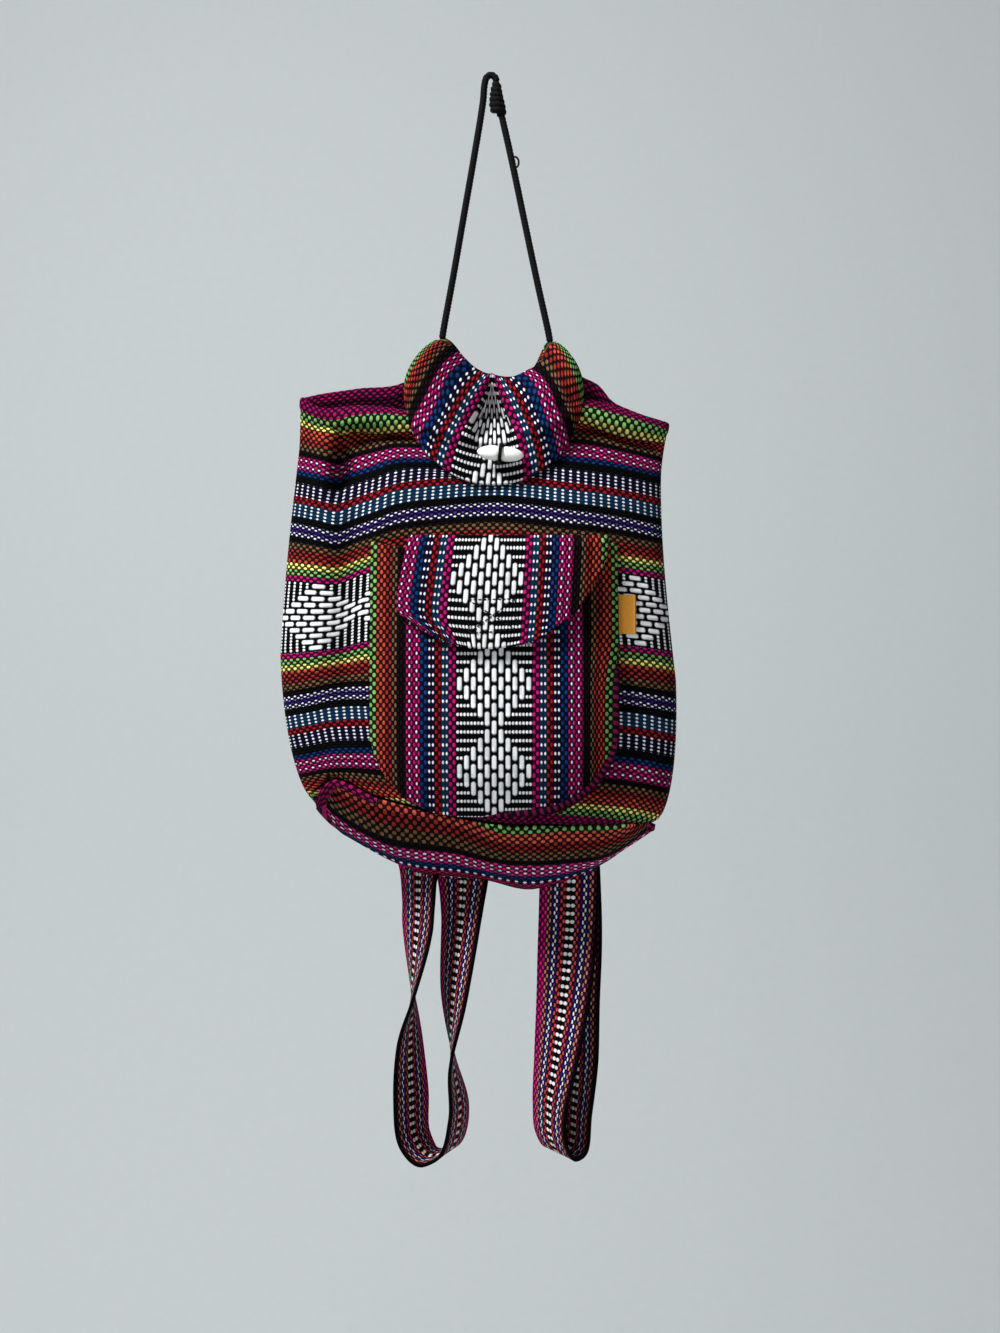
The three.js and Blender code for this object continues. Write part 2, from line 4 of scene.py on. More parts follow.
import bpy
import numpy as np
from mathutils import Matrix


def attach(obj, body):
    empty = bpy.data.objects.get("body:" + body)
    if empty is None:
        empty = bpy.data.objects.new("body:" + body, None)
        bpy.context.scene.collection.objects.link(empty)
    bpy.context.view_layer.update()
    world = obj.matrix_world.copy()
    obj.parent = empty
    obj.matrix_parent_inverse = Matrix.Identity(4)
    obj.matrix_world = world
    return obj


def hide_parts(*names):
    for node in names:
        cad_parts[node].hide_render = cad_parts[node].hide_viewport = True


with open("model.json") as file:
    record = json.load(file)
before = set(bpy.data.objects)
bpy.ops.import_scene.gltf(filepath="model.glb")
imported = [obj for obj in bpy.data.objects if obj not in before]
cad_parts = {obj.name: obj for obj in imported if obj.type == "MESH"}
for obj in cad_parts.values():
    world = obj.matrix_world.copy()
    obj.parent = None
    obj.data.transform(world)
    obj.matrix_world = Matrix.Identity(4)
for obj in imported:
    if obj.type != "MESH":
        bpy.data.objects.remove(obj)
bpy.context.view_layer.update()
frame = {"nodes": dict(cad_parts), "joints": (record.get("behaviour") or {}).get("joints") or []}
scene = bpy.context.scene
MM = 0.001
TAU = 2 * math.pi

# The camera looks straight at the bag's front. EYE is in mm, and PIXEL is the size of a photo pixel at y = 0.
EYE = (6.6, -1100.0, -386.8)
PIXEL = 0.66
camera_data = bpy.data.cameras.new("camera")
camera_data.sensor_width = 36.0
camera_data.lens = 45.0
camera = bpy.data.objects.new("camera", camera_data)
camera.location = [v * MM for v in EYE]
camera.rotation_euler = (math.radians(90), 0, 0)
scene.collection.objects.link(camera)
scene.camera = camera


# Curves and shapes
def smooth(x):
    s = np.clip(x, 0, 1)
    return s * s * (3 - 2 * s)


def mix(a, b, s):
    return a + (b - a) * s


def bump(x, centre, width):
    return np.exp(-(((x - centre) / width) ** 2))


def rounded(q, power):
    """A rounded section: 1 in the middle, where q is 0, and 0 at both sides."""
    return np.maximum(1 - q * q, 0) ** power


def stacked(*parts):
    return np.stack(np.broadcast_arrays(*parts), -1)


def unit(vectors):
    return vectors / np.linalg.norm(vectors, axis=-1, keepdims=True)


def distance_along(points):
    return np.r_[0, np.cumsum(np.linalg.norm(np.diff(points, axis=0), axis=1))]


def eased(a, b, lead, trail, s):
    """From a to b, setting out at the slope lead and coming in at the slope trail."""
    return mix(a, b, s * s * (3 - 2 * s)) + s * (1 - s) ** 2 * lead + s * s * (s - 1) * trail


def through(points):
    """A smooth curve through (x, y) points, level beyond its ends."""
    xs, ys = np.array(points, float).T
    last = len(xs) - 1
    before = np.maximum(np.arange(last + 1) - 1, 0)
    after = np.minimum(np.arange(last + 1) + 1, last)
    slopes = (ys[after] - ys[before]) / (xs[after] - xs[before])

    def curve(x):
        x = np.clip(x, xs[0], xs[-1])
        i = np.clip(np.searchsorted(xs, x, side="right") - 1, 0, last - 1)
        h = xs[i + 1] - xs[i]
        return eased(ys[i], ys[i + 1], h * slopes[i], h * slopes[i + 1], (x - xs[i]) / h)

    return curve


def soft_curve(points):
    """A centripetal curve through points, from 0 to 1, level in the points' numbers."""
    p = np.array(points, float)
    p = np.vstack([2 * p[0] - p[1], p, 2 * p[-1] - p[-2]])
    step = np.linalg.norm(np.diff(p, axis=0), axis=1) ** 0.5
    last = len(points) - 1

    def curve(u):
        at = np.clip(u, 0, 1) * last
        i = np.minimum(at.astype(int), last - 1)
        d0, d1, d2 = (step[i + k][:, None] for k in range(3))
        p0, p1, p2, p3 = (p[i + k] for k in range(4))
        t1 = ((p1 - p0) / d0 - (p2 - p0) / (d0 + d1) + (p2 - p1) / d1) * d1
        t2 = ((p2 - p1) / d1 - (p3 - p1) / (d1 + d2) + (p3 - p2) / d2) * d1
        return eased(p1, p2, t1, t2, (at - i)[:, None])

    return curve


def lines(count, inset):
    """Grid lines from 0 to 1, with a few close to each end so that a sheet's edge can be round."""
    close = inset * np.array([0, 0.12, 0.4, 0.7])
    return np.r_[close, np.linspace(inset, 1 - inset, count), 1 - close[::-1]]


def lip(near):
    """A sheet's share of its full thickness near an edge; near is 1 where it is full."""
    return np.maximum(np.sqrt(1 - (1 - np.clip(near, 0, 1)) ** 2), 0.15)


def edge(s, inset):
    return lip(np.minimum(s, 1 - s) / inset)


def waves(x, y, seed, size):
    """Smooth uneven waves about 0, the same at each run."""
    draw = np.random.default_rng(seed)
    total, count = 0, 5
    for _ in range(count):
        angle, phase = draw.uniform(0, TAU), draw.uniform(0, TAU)
        pitch = size * draw.uniform(0.6, 1.6)
        total = total + np.sin((x * math.cos(angle) + y * math.sin(angle)) * TAU / pitch + phase)
    return total / count


def piece(name, vertices, faces, uv, material):
    """A smooth-shaded object from points in mm; uv, if given, is each face corner's place in the weave."""
    mesh = bpy.data.meshes.new(name)
    mesh.from_pydata((np.asarray(vertices) * MM).tolist(), [], [list(map(int, f)) for f in faces])
    if uv is not None:
        layer = mesh.uv_layers.new(name="weave")
        layer.data.foreach_set("uv", np.asarray(uv, np.float32).ravel())
    mesh.polygons.foreach_set("use_smooth", [True] * len(mesh.polygons))
    mesh.materials.append(material)
    mesh.update()
    thing = bpy.data.objects.new(name, mesh)
    scene.collection.objects.link(thing)
    return thing


def numbered(rows, columns, wrap=True):
    """A grid of vertex numbers, with its first column again at the end if it wraps round."""
    index = np.arange(rows * columns).reshape(rows, columns)
    return np.concatenate([index, index[:, :1]], 1) if wrap else index


def corners(grid):
    """The four corners of each cell of a grid of numbers, in order round the cell."""
    return np.stack([grid[:-1, :-1], grid[:-1, 1:], grid[1:, 1:], grid[1:, :-1]], -1).reshape(-1, 4)


def shell(name, middle, uv, thickness, material, wrap=False, inside_weave_with_shade=None):
    """A closed cloth shell about a grid of middle points, with another weave on its inside if one is given;
    the body's inside weave holds painted shade near the rim.
    """
    rows, columns = middle.shape[:2]
    if wrap:
        across = np.roll(middle, -1, 1) - np.roll(middle, 1, 1)
    else:
        across = np.gradient(middle, axis=1)
    normal = np.cross(across, np.gradient(middle, axis=0))
    normal /= np.linalg.norm(normal, axis=2, keepdims=True) + 1e-9
    half = normal * np.broadcast_to(thickness, (rows, columns))[..., None] / 2
    vertices = np.concatenate([(middle + half).reshape(-1, 3), (middle - half).reshape(-1, 3)])
    index = numbered(rows, columns, wrap)
    place = numbered(*uv.shape[:2], wrap=False)
    under = rows * columns
    faces = [corners(index), corners(index)[:, ::-1] + under]
    places = [corners(place), corners(place)[:, ::-1]]
    borders = [(index[0], place[0]), (index[-1][::-1], place[-1][::-1])]
    if not wrap:
        borders += [(index[::-1, 0], place[::-1, 0]), (index[:, -1], place[:, -1])]
    for line, spot in borders:
        faces.append(np.stack([line[1:], line[:-1], line[:-1] + under, line[1:] + under], -1))
        places.append(np.stack([spot[1:], spot[:-1], spot[:-1], spot[1:]], -1))
    faces = np.concatenate(faces)
    places = np.concatenate(places)
    a, b, c, d = (vertices[faces[:, k]] for k in range(4))
    if np.einsum("ij,ij->", np.cross(c - a, d - b), (a + b + c + d) / 4) < 0:
        faces, places = faces[:, ::-1], places[:, ::-1]
    spots = uv.reshape(-1, 2)[places]
    if inside_weave_with_shade is not None:
        inner = np.all(faces < under, axis=1)
        spots[inner] = inside_weave_with_shade.reshape(-1, 2)[places[inner]]
    return piece(name, vertices, faces, spots, material)


def along(points, steps):
    """Evenly spaced points on a soft curve, with two directions across it at each."""
    fine = soft_curve(points)(np.linspace(0, 1, 40 * len(points)))
    run = distance_along(fine)
    spaced = np.linspace(0, run[-1], steps)
    path = np.stack([np.interp(spaced, run, fine[:, k]) for k in range(3)], -1)
    tangent = unit(np.gradient(path, axis=0))
    side = np.cross(tangent[0], [0.3, 1, 0.2])
    sides = []
    for direction in tangent:
        side = unit(side - direction * side.dot(direction))
        sides.append(side)
    sides = np.array(sides)
    return path, sides, np.cross(tangent, sides), run[-1]


def angles(count):
    return np.linspace(0, TAU, count, endpoint=False)


def tube(path, side, other, radius):
    """The points and faces of a closed tube; radius has a row for each point of the path."""
    turn = angles(radius.shape[1])[:, None]
    ring = side[:, None] * np.cos(turn) + other[:, None] * np.sin(turn)
    index = numbered(*radius.shape)
    faces = [*corners(index), index[0, :-1][::-1], index[-1, :-1]]
    return (path[:, None] + ring * radius[..., None]).reshape(-1, 3), faces


def rope(name, points, diameter, strands, lay, material, sides=20, pitch=0.55):
    """A laid cord of round strands that wind once in each lay, with its path and length in metres."""
    length = along(points, 50)[3]
    path, side, other, length = along(points, max(int(length / pitch), 12))
    run = np.linspace(0, length, len(path))
    wind = (angles(sides) - TAU * run[:, None] / lay) * strands / 2
    radius = diameter / 2 * (0.8 + 0.22 * np.abs(np.cos(wind)) ** 0.7)
    end = np.minimum(run, length - run)
    radius = radius * np.sqrt(np.clip(0.2 + end / diameter * 2, 0, 1))[:, None]
    thing = piece(name, *tube(path, side, other, radius), None, material)
    kept = np.linspace(0, len(path) - 1, 60).astype(int)
    return thing, [tuple(p) for p in path[kept] * MM], length * MM


def belongs(thing, body, slot, *nodes):
    """What a piece moves with and the CAD nodes that it stands in for; slot is not used."""
    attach(thing, body)
    if nodes:
        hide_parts(*nodes)


def sewn(thing, slot, *nodes, **sheet):
    """A piece of the bag's cloth; sheet is not used."""
    belongs(thing, "bag", slot, *nodes)


# Materials
def colour(red, green, blue):
    """Linear colour of a screen colour from 0 to 255."""
    s = np.array([red, green, blue]) / 255
    linear = np.where(s <= 0.04045, s / 12.92, ((s + 0.055) / 1.055) ** 2.4)
    return (*map(float, linear), 1.0)


def grey(value):
    return (value, value, value, 1.0)


class Shader:
    """A node material, built by small calls that take numbers or sockets."""

    def __init__(self, name, roughness, sheen=0.0, specular=0.25):
        self.material = bpy.data.materials.new(name)
        self.material.use_nodes = True
        self.tree = self.material.node_tree
        self.surface = self.tree.nodes["Principled BSDF"].inputs
        self.surface["Roughness"].default_value = roughness
        self.surface["Sheen Weight"].default_value = sheen
        self.surface["Sheen Roughness"].default_value = 0.5
        self.surface["Specular IOR Level"].default_value = specular

    def put(self, value, socket):
        if isinstance(value, bpy.types.NodeSocket):
            self.tree.links.new(value, socket)
        else:
            socket.default_value = value

    def node(self, kind, inputs, **settings):
        """The outputs of a new node, whose inputs are given as (socket, value)."""
        made = self.tree.nodes.new(kind)
        for key, value in settings.items():
            setattr(made, key, value)
        for socket, value in inputs:
            self.put(value, made.inputs[socket])
        return made.outputs

    def math(self, operation, *values):
        return self.node("ShaderNodeMath", enumerate(values), operation=operation)[0]

    def add(self, a, b):
        return self.math("ADD", a, b)

    def sub(self, a, b):
        return self.math("SUBTRACT", a, b)

    def mul(self, a, b):
        return self.math("MULTIPLY", a, b)

    def away(self, a):
        return self.math("ABSOLUTE", a)

    def off_middle(self, value, whole):
        """How far value is from the middle of its step, which starts at whole: 1 at either end."""
        return self.away(self.sub(self.mul(self.sub(value, whole), 2.0), 1.0))

    def step(self, value, low, high):
        """0 below low and 1 above high, smooth between; low may be the larger."""
        if low > high:
            return self.sub(1.0, self.step(value, high, low))
        inputs = (("Value", value), ("From Min", low), ("From Max", high))
        return self.node("ShaderNodeMapRange", inputs, interpolation_type="SMOOTHSTEP")["Result"]

    def blend(self, factor, first, second, kind="MIX"):
        inputs = ((0, factor), (6, first), (7, second))
        return self.node("ShaderNodeMix", inputs, data_type="RGBA", blend_type=kind)[2]

    def choose(self, factor, first, second):
        return self.node("ShaderNodeMix", ((0, factor), (2, first), (3, second)), data_type="FLOAT")[0]

    def bands(self, place, starts, colours):
        """The colour of the band that place is in; the bands start from 0 up to 1."""
        made = self.tree.nodes.new("ShaderNodeValToRGB")
        ramp = made.color_ramp
        ramp.interpolation = "CONSTANT"
        while len(ramp.elements) < len(starts):
            ramp.elements.new(1.0)
        for element, start, value in zip(ramp.elements, starts, colours):
            element.position = start
            element.color = value
        self.put(place, made.inputs[0])
        return made.outputs[0]

    def noise(self, scale, detail=2.0):
        place = self.node("ShaderNodeTexCoord", ())["Object"]
        inputs = (("Scale", scale), ("Detail", detail), ("Vector", place))
        return self.node("ShaderNodeTexNoise", inputs)["Fac"]

    def speck(self, across, down):
        """A steady chance value for each whole (across, down)."""
        joined = self.node("ShaderNodeCombineXYZ", enumerate((across, down)))[0]
        return self.node("ShaderNodeTexWhiteNoise", [("Vector", joined)], noise_dimensions="2D")["Value"]

    def weave_place(self):
        spot = self.node("ShaderNodeUVMap", (), uv_map="weave")[0]
        return self.node("ShaderNodeSeparateXYZ", [(0, spot)])[:2]

    def done(self, base, height, depth, strength):
        self.put(base, self.surface["Base Color"])
        inputs = (("Strength", strength), ("Distance", depth), ("Height", height))
        self.put(self.node("ShaderNodeBump", inputs)[0], self.surface["Normal"])
        return self.material


# Yarns, in screen colours: the colour on top, and the colour in the gaps between, which is the ground yarn
# under dashes, zigzags and candy and, for the plain yarns, painted shade between the dots
WHITE = (238, 239, 241)
YARNS = {
    "magenta": ((186, 24, 112), (46, 3, 28)),
    "plum": ((150, 18, 88), (38, 3, 24)),
    # dark magenta is a stripe on the straps, and painted shade on the sack's inside and on the pocket's
    # turned edge
    "dark magenta": ((84, 11, 50), (14, 2, 10)),
    "green": ((122, 176, 96), (16, 21, 12)),
    "yellow": ((236, 230, 132), (58, 50, 18)),
    "orange": ((184, 72, 54), (42, 7, 8)),
    # painted lit orange is orange made brighter: painted light on the base, whose face turns down
    "ember": ((208, 92, 74), (54, 12, 12)),
    "red": ((152, 22, 36), (34, 3, 8)),
    "rust": ((146, 42, 38), (26, 4, 6)),
    "pink": ((222, 36, 136), (84, 8, 50)),
    "rose": ((202, 72, 78), (44, 8, 14)),
    "clay": ((198, 130, 114), (40, 14, 16)),
    "brown": ((116, 84, 58), (16, 9, 8)),
    "black": ((8, 6, 9), (1, 1, 1)),
    "maroon": ((24, 10, 14), (2, 1, 2)),
    "blue": ((14, 54, 110), (2, 10, 32)),
    "purple": ((52, 26, 118), (7, 4, 20)),
    "teal dash": (WHITE, (6, 40, 68)),
    "navy dash": (WHITE, (10, 6, 36)),
    "black dash": (WHITE, (3, 2, 3)),
    "zigzag": (WHITE, (16, 7, 50)),
    "candy": ((250, 234, 242), (84, 7, 50)),
}
# Yarns whose dots stand in line as dashes, and how far white dashes and zigzags are thinned
DASH = ("teal dash", "navy dash", "black dash")
THIN = {**dict.fromkeys(DASH, 0.32), "zigzag": 0.42, "candy": 0.42}
CANDY = [(1, 2.2, "magenta"), (1, 2.2, "candy"), (2, 4.6, "magenta"),
         (1, 2.2, "candy"), (1, 2.2, "magenta")]
DIAMOND_ROWS, FLOAT_PICKS, DIAMOND_PICKS, DIAMOND_REACH = 11, 4.0, 20.0, 5.4

# Bands of yarn rows: (rows, photo pixels, yarn), from the middle of the diamonds outwards
BODY_BANDS = [
    (DIAMOND_ROWS, 35, "black dash"), (2, 6, "magenta"), (2, 6, "green"), (2, 6, "yellow"),
    (1, 4, "orange"), (3, 9, "rust"), (2, 6, "brown"), (2, 7, "black"), (2, 3.6, "zigzag"),
    (2, 4.6, "purple"), (2, 3.6, "zigzag"), (3, 7.2, "black"), (4, 14, "teal dash"),
    (2, 6, "red"), (4, 14, "navy dash"), (3, 8, "black"), (2, 6, "blue"), *CANDY, (2, 5, "black"),
    (2, 6, "brown"), (2, 6, "rust"), (3, 8, "orange"), (2, 6, "yellow"), (2, 6, "green"),
    # The dark magenta band past the hem is painted shade, seen only on the sack's inside
    (5, 13.6, "plum"), (20, 52, "dark magenta"),
]
POCKET_BANDS = [
    (DIAMOND_ROWS, 36, "black dash"), (2, 7, "magenta"), (2, 7, "teal dash"), (2, 6, "red"),
    (2, 7, "navy dash"), (2, 7, "blue"), *CANDY, (3, 8.6, "maroon"), (2, 5, "brown"), (2, 6, "rust"),
    # The last band, dark magenta, is painted shade on the pocket's turned edge and along the top flap's
    # outermost edge
    (3, 9, "orange"), (4, 15, "green"), (6, 16, "dark magenta"),
]
BASE_BANDS = [
    # The base's orange rows use painted lit orange, brighter than the orange elsewhere
    (2, 6.5, "green"), (3, 8, "ember"), (3, 8.5, "rust"), (3, 8, "brown"), (2, 4, "black"),
    (1, 2.2, "pink"), (1, 2.4, "candy"), (1, 2.4, "pink"), (1, 2.4, "candy"),
    (1, 2.4, "pink"), (3, 7, "blue"), (1, 4, "navy dash"), (2, 6.5, "magenta"), (2, 6, "red"),
    (2, 7, "teal dash"), (3, 8, "black"), (2, 6, "brown"), (4, 12, "orange"), (2, 6, "yellow"),
    (2, 6, "green"), (8, 24, "plum"),
]
STRAP_BANDS = [
    (1, 3, "magenta"), (2, 6, "pink"), (2, 4.8, "clay"), (1, 2.4, "purple"), (2, 4.2, "zigzag"),
    (1, 2.4, "purple"), (2, 6, "rose"), (2, 10.5, "black dash"), (2, 5, "rose"), (1, 3, "purple"),
    (2, 4.2, "zigzag"), (1, 2, "purple"), (2, 5, "clay"), (1, 3, "dark magenta"), (1, 3, "black"),
]


def row_count(bands):
    return sum(rows for rows, _, _ in bands)


def rows_at(pixels, bands):
    """The yarn row at a distance across the bands."""
    rows = np.cumsum([0] + [band[0] for band in bands])
    spans = np.cumsum([0] + [band[1] for band in bands])
    return np.sign(pixels) * np.interp(np.abs(pixels), spans, rows)


def weave(name, bands, diamonds, slim=1.0):
    """Warp-faced cloth: yarn dots in rows, dashes, zigzags and, in the middle, diamonds of long floats.

    slim is the share of THIN that this cloth takes.
    """
    s = Shader(name, roughness=0.9, specular=0.05)
    u, v = s.weave_place()
    total = row_count(bands)
    starts = [row_count(bands[:k]) / total for k in range(len(bands))]
    names = [yarn for _, _, yarn in bands]
    yarns = [colour(*YARNS[yarn][0]) for yarn in names]
    gaps_and_shade = [colour(*YARNS[yarn][1]) for yarn in names]
    bricks = [grey(float(yarn not in DASH)) for yarn in names]
    thins = [grey(slim * THIN.get(yarn, 0.0)) for yarn in names]
    out = s.away(v)
    place = s.math("DIVIDE", out, total)
    row = s.math("FLOOR", v)
    across = s.off_middle(v, row)
    brick = s.bands(place, starts, bricks)
    middle = s.sub(u, 0.5)
    swing = s.math("COSINE", s.mul(s.add(middle, s.mul(row, brick)), math.pi))
    oval = s.mul(s.math("POWER", across, 3.0), 0.95)
    stroke = s.mul(s.math("POWER", across, 2.0), 0.6 + 1.3 * slim)
    thinned = s.sub(s.sub(swing, s.choose(brick, stroke, oval)), s.bands(place, starts, thins))
    dots = s.step(thinned, -0.3, 0.35)
    if diamonds:
        pair = s.math("DIVIDE", s.add(v, 1.0), 2.0)
        count = s.math("FLOOR", pair)
        wide = s.off_middle(pair, count)
        lead = s.add(middle, s.mul(count, 2.0))
        off = s.sub(s.math("FLOORED_MODULO", lead, FLOAT_PICKS), FLOAT_PICKS / 2)
        float_at = s.add(s.sub(middle, off), DIAMOND_PICKS / 2)
        far = s.away(s.sub(s.math("FLOORED_MODULO", float_at, DIAMOND_PICKS), DIAMOND_PICKS / 2))
        reach = s.add(s.math("DIVIDE", far, 2.0), s.away(count))
        inside = s.math("LESS_THAN", reach, DIAMOND_REACH)
        float_end = s.add(s.away(off), s.mul(s.math("POWER", wide, 2.0), 0.6))
        floats = s.mul(s.step(float_end, 1.8, 1.35), s.step(wide, 0.82, 0.55))
        ticks = s.step(s.sub(s.mul(swing, -1.0), oval), 0.1, 0.65)
        within = s.math("LESS_THAN", out, float(DIAMOND_ROWS))
        dots = s.choose(within, dots, s.choose(inside, ticks, floats))
        across = s.choose(s.mul(within, inside), across, wide)
    crown = s.math("SQRT", s.sub(1.02, s.mul(across, across)))
    chance = s.speck(s.math("FLOOR", s.math("DIVIDE", u, 2.0)), row)
    fibre = s.noise(2600.0, 3.0)
    faded = s.noise(22.0, 2.0)
    # light is the yarns' own uneven tone from chance, fibre and faded, and painted shade from crown: each dot
    # lighter in its middle and darker towards its edges
    light = s.mul(chance, 0.3)
    for part, weight in ((fibre, 0.4), (faded, 0.3), (crown, 0.35)):
        light = s.add(light, s.mul(part, weight))
    base = s.blend(dots, s.bands(place, starts, gaps_and_shade), s.bands(place, starts, yarns))
    base = s.blend(1.0, base, light, "MULTIPLY")
    height = s.mul(crown, s.add(s.mul(dots, 0.75), 0.25))
    height = s.add(height, s.mul(fibre, 0.22))
    return s.done(base, height, 0.0011, 0.85)


def grained(name, low, top, scale, depth, strength, **surface):
    """Two shades in fine grains that also stand up a little."""
    s = Shader(name, **surface)
    grain = s.noise(scale, 3.0)
    return s.done(s.blend(grain, colour(*low), colour(*top)), grain, depth, strength)


def toggle_material(name):
    """White moulded plastic, slightly yellowed and scuffed."""
    s = Shader(name, roughness=0.38, specular=0.5)
    cloud = s.noise(160.0, 4.0)
    base = s.blend(cloud, colour(238, 236, 228), colour(252, 251, 247))
    return s.done(base, s.noise(900.0, 4.0), 0.0001, 0.35)


def tape_material(name, top, low, pitch):
    """Fine plain tape: tiny over and under threads."""
    s = Shader(name, roughness=0.75, sheen=0.15)
    u, v = s.weave_place()
    over = s.math("SINE", s.mul(u, TAU / pitch))
    under = s.math("SINE", s.mul(v, TAU / pitch))
    grain = s.add(s.mul(s.mul(over, under), 0.5), 0.5)
    mottle = s.add(s.mul(grain, 0.6), s.mul(s.noise(400.0), 0.4))
    return s.done(s.blend(mottle, low, top), grain, 0.0003, 0.6)


body_cloth = weave("body_cloth", BODY_BANDS, True)
pocket_cloth = weave("pocket_cloth", POCKET_BANDS, True)
base_cloth = weave("base_cloth", BASE_BANDS, False, 0.5)
strap_cloth = weave("strap_cloth", STRAP_BANDS, False, 0.2)
black_cord, thread = (
    grained(name, (2, 2, 3), (14, 13, 15), 3000.0, 0.0003, 0.5, roughness=0.8, sheen=0.015, specular=0.1)
    for name in ("black_cord", "black_thread"))

# The drawstring: two taut legs, the knot that ties them and a thread pulled out of the right leg
HANG_DROP, EXIT_RISE, EXIT_SKEW = 173.0, 43.0, 2.0
EXIT_LEFT, EXIT_RIGHT = -31.0, 39.0
CLOTH, SEAM_GAP, FLAP_SEAT = 2.6, 0.6, 3.6
DRAWSTRING, STRANDS, LAY, LEG_SUNK = 4.6, 3, 7.0, 5.0
KNOT_TURNS, KNOT_TOP_Z, KNOT_END_Z = 6.6, -0.4, -22.6
exit_z = -HANG_DROP + CLOTH + SEAM_GAP + FLAP_SEAT
left_route = [
    (EXIT_LEFT, 1, exit_z), (-24.2, 0.5, -129), (-17.4, 0.3, -90), (-10.4, 0, -50), (-4.6, 0, -14),
    (-3.6, 0, -3), (-2.2, 0, 2), (0.6, 0, 3.6), (3.4, 0, 2), (4.8, 0, -1.4),
]
right_route = [
    (EXIT_RIGHT, 1, exit_z - EXIT_SKEW), (30.8, 0.5, -131), (22.6, 0.3, -92), (14, 0, -51),
    (7.6, 0, KNOT_END_Z),
]
down = np.linspace(0, 1, 140)
turns = KNOT_TURNS * TAU * down - 0.6
knot_x = through([(0, 4.4), (0.25, 4.1), (0.8, 5.0), (1, 7.0)])(down)
coil = through([(0, 0.2), (0.12, 1.2), (0.7, 3.2), (0.9, 2.9), (1, 0.5)])(down)
knot_z = mix(KNOT_TOP_Z, KNOT_END_Z, down)
wraps = np.stack([knot_x + coil * np.cos(turns), coil * np.sin(turns), knot_z], -1)
knot = rope("drawstring_wraps", wraps, DRAWSTRING - 0.2, STRANDS, LAY, black_cord)[0]
belongs(knot, "bag", "cord", "drawstring_knot")
snag_route = [
    (15.6, -0.8, -50.4), (17.6, -0.9, -51), (18.9, -1, -53.4), (18.4, -1, -56.6), (16.8, -0.9, -58),
]
snag = rope("drawstring_pulled_thread", snag_route, 1.4, 2, 2.4, black_cord)[0]
belongs(snag, "bag", "cord")
for name, route, on_it in (("left", left_route, [knot]), ("right", right_route, [snag])):
    x, y, z = route[0]
    route = [(x * 1.02, y, z - LEG_SUNK), *route]
    leg, path, length = rope(f"drawstring_{name}_leg", route, DRAWSTRING, STRANDS, LAY, black_cord)
    belongs(leg, "bag", "cord", f"drawstring_{name}")

# The sack: t runs from the rim (0) to the base seam (1), q from the left side (-1) to the right (1)
RIM_WIDTH, BELLY_WIDTH, BASE_WIDTH, BODY_HEIGHT = 242.0, 257.0, 217.0, 270.0
MOUTH_DEPTH, BELLY_DEPTH, BASE_DEPTH, BASE_SAG = 13.0, 58.0, 58.0, 7.0
RIM_Z = -HANG_DROP - EXIT_RISE
SEAM_Z = RIM_Z - BODY_HEIGHT
RIM_CENTRE, RIM_Y, BACK_Y, BELLY_AT = -3.2, -2.0, 8.0, 0.65
FRONT_POWER, BACK_POWER = 0.4, 0.3
rim_to_belly = through([(0, RIM_WIDTH / 2), (0.15, RIM_WIDTH / 2 - 2), (BELLY_AT, BELLY_WIDTH / 2)])
side_y = through([(0, RIM_Y), (0.5, -13), (1, -20)])
front_depth = through([
    (0, MOUTH_DEPTH / 2), (0.15, 0.3 * BELLY_DEPTH), (0.35, 0.52 * BELLY_DEPTH),
    (BELLY_AT, 0.59 * BELLY_DEPTH), (0.87, 0.57 * BELLY_DEPTH), (1, 0.5 * BASE_DEPTH),
])
back_depth = through([(0, MOUTH_DEPTH / 2), (0.3, BACK_Y + 9), (0.6, BACK_Y + 15), (1, BACK_Y + 20)])
flap_middle = (EXIT_LEFT + EXIT_RIGHT) / 2


def exit_q(x):
    return (x - RIM_CENTRE) / (RIM_WIDTH / 2)


# How far the rim and the seam rise above their own levels, from side to side
rim_front = through([
    (-1, 6.5), (-0.96, 2.5), (-0.87, -1.2), (-0.66, 0.2), (-0.4, -4), (0, -16), (0.3, -8), (0.54, 4),
    (0.69, 0), (0.8, -4), (1, -10),
])
rim_back = through([
    (-1, 6.5), (-0.9, 9.5), (-0.71, 13), (-0.44, 18), (exit_q(EXIT_LEFT), EXIT_RISE),
    (exit_q(mix(EXIT_LEFT, flap_middle, 0.4)), 0.6 * EXIT_RISE), (exit_q(flap_middle), 15),
    (exit_q(mix(flap_middle, EXIT_RIGHT, 0.7)), 0.46 * EXIT_RISE),
    (exit_q(EXIT_RIGHT), EXIT_RISE - EXIT_SKEW), (0.51, 23), (0.63, 15), (0.7, 5), (0.8, -1), (1, -10),
])
seam_front = through([
    (-1, 11), (-0.995, 15.5), (-0.97, 21), (-0.917, 26), (-0.868, 27.5), (-0.78, 24), (-0.62, 16),
    (0, 1), (0.45, -2), (1, -2),
])
seam_back = through([
    (-1, 11), (-0.985, 7), (-0.94, 0.5), (-0.85, -9.5), (-0.42, -34), (0, -40), (0.3, -46),
    (0.72, -28), (1, -2),
])


def half_width(t):
    fall = np.sqrt(1 - np.clip((t - BELLY_AT) / (1 - BELLY_AT), 0, 1) ** 2)
    return np.where(t < BELLY_AT, rim_to_belly(t), mix(BASE_WIDTH / 2, BELLY_WIDTH / 2, fall))


def centre_x(t):
    return RIM_CENTRE - 5.5 * np.sin(math.pi * t**0.8)


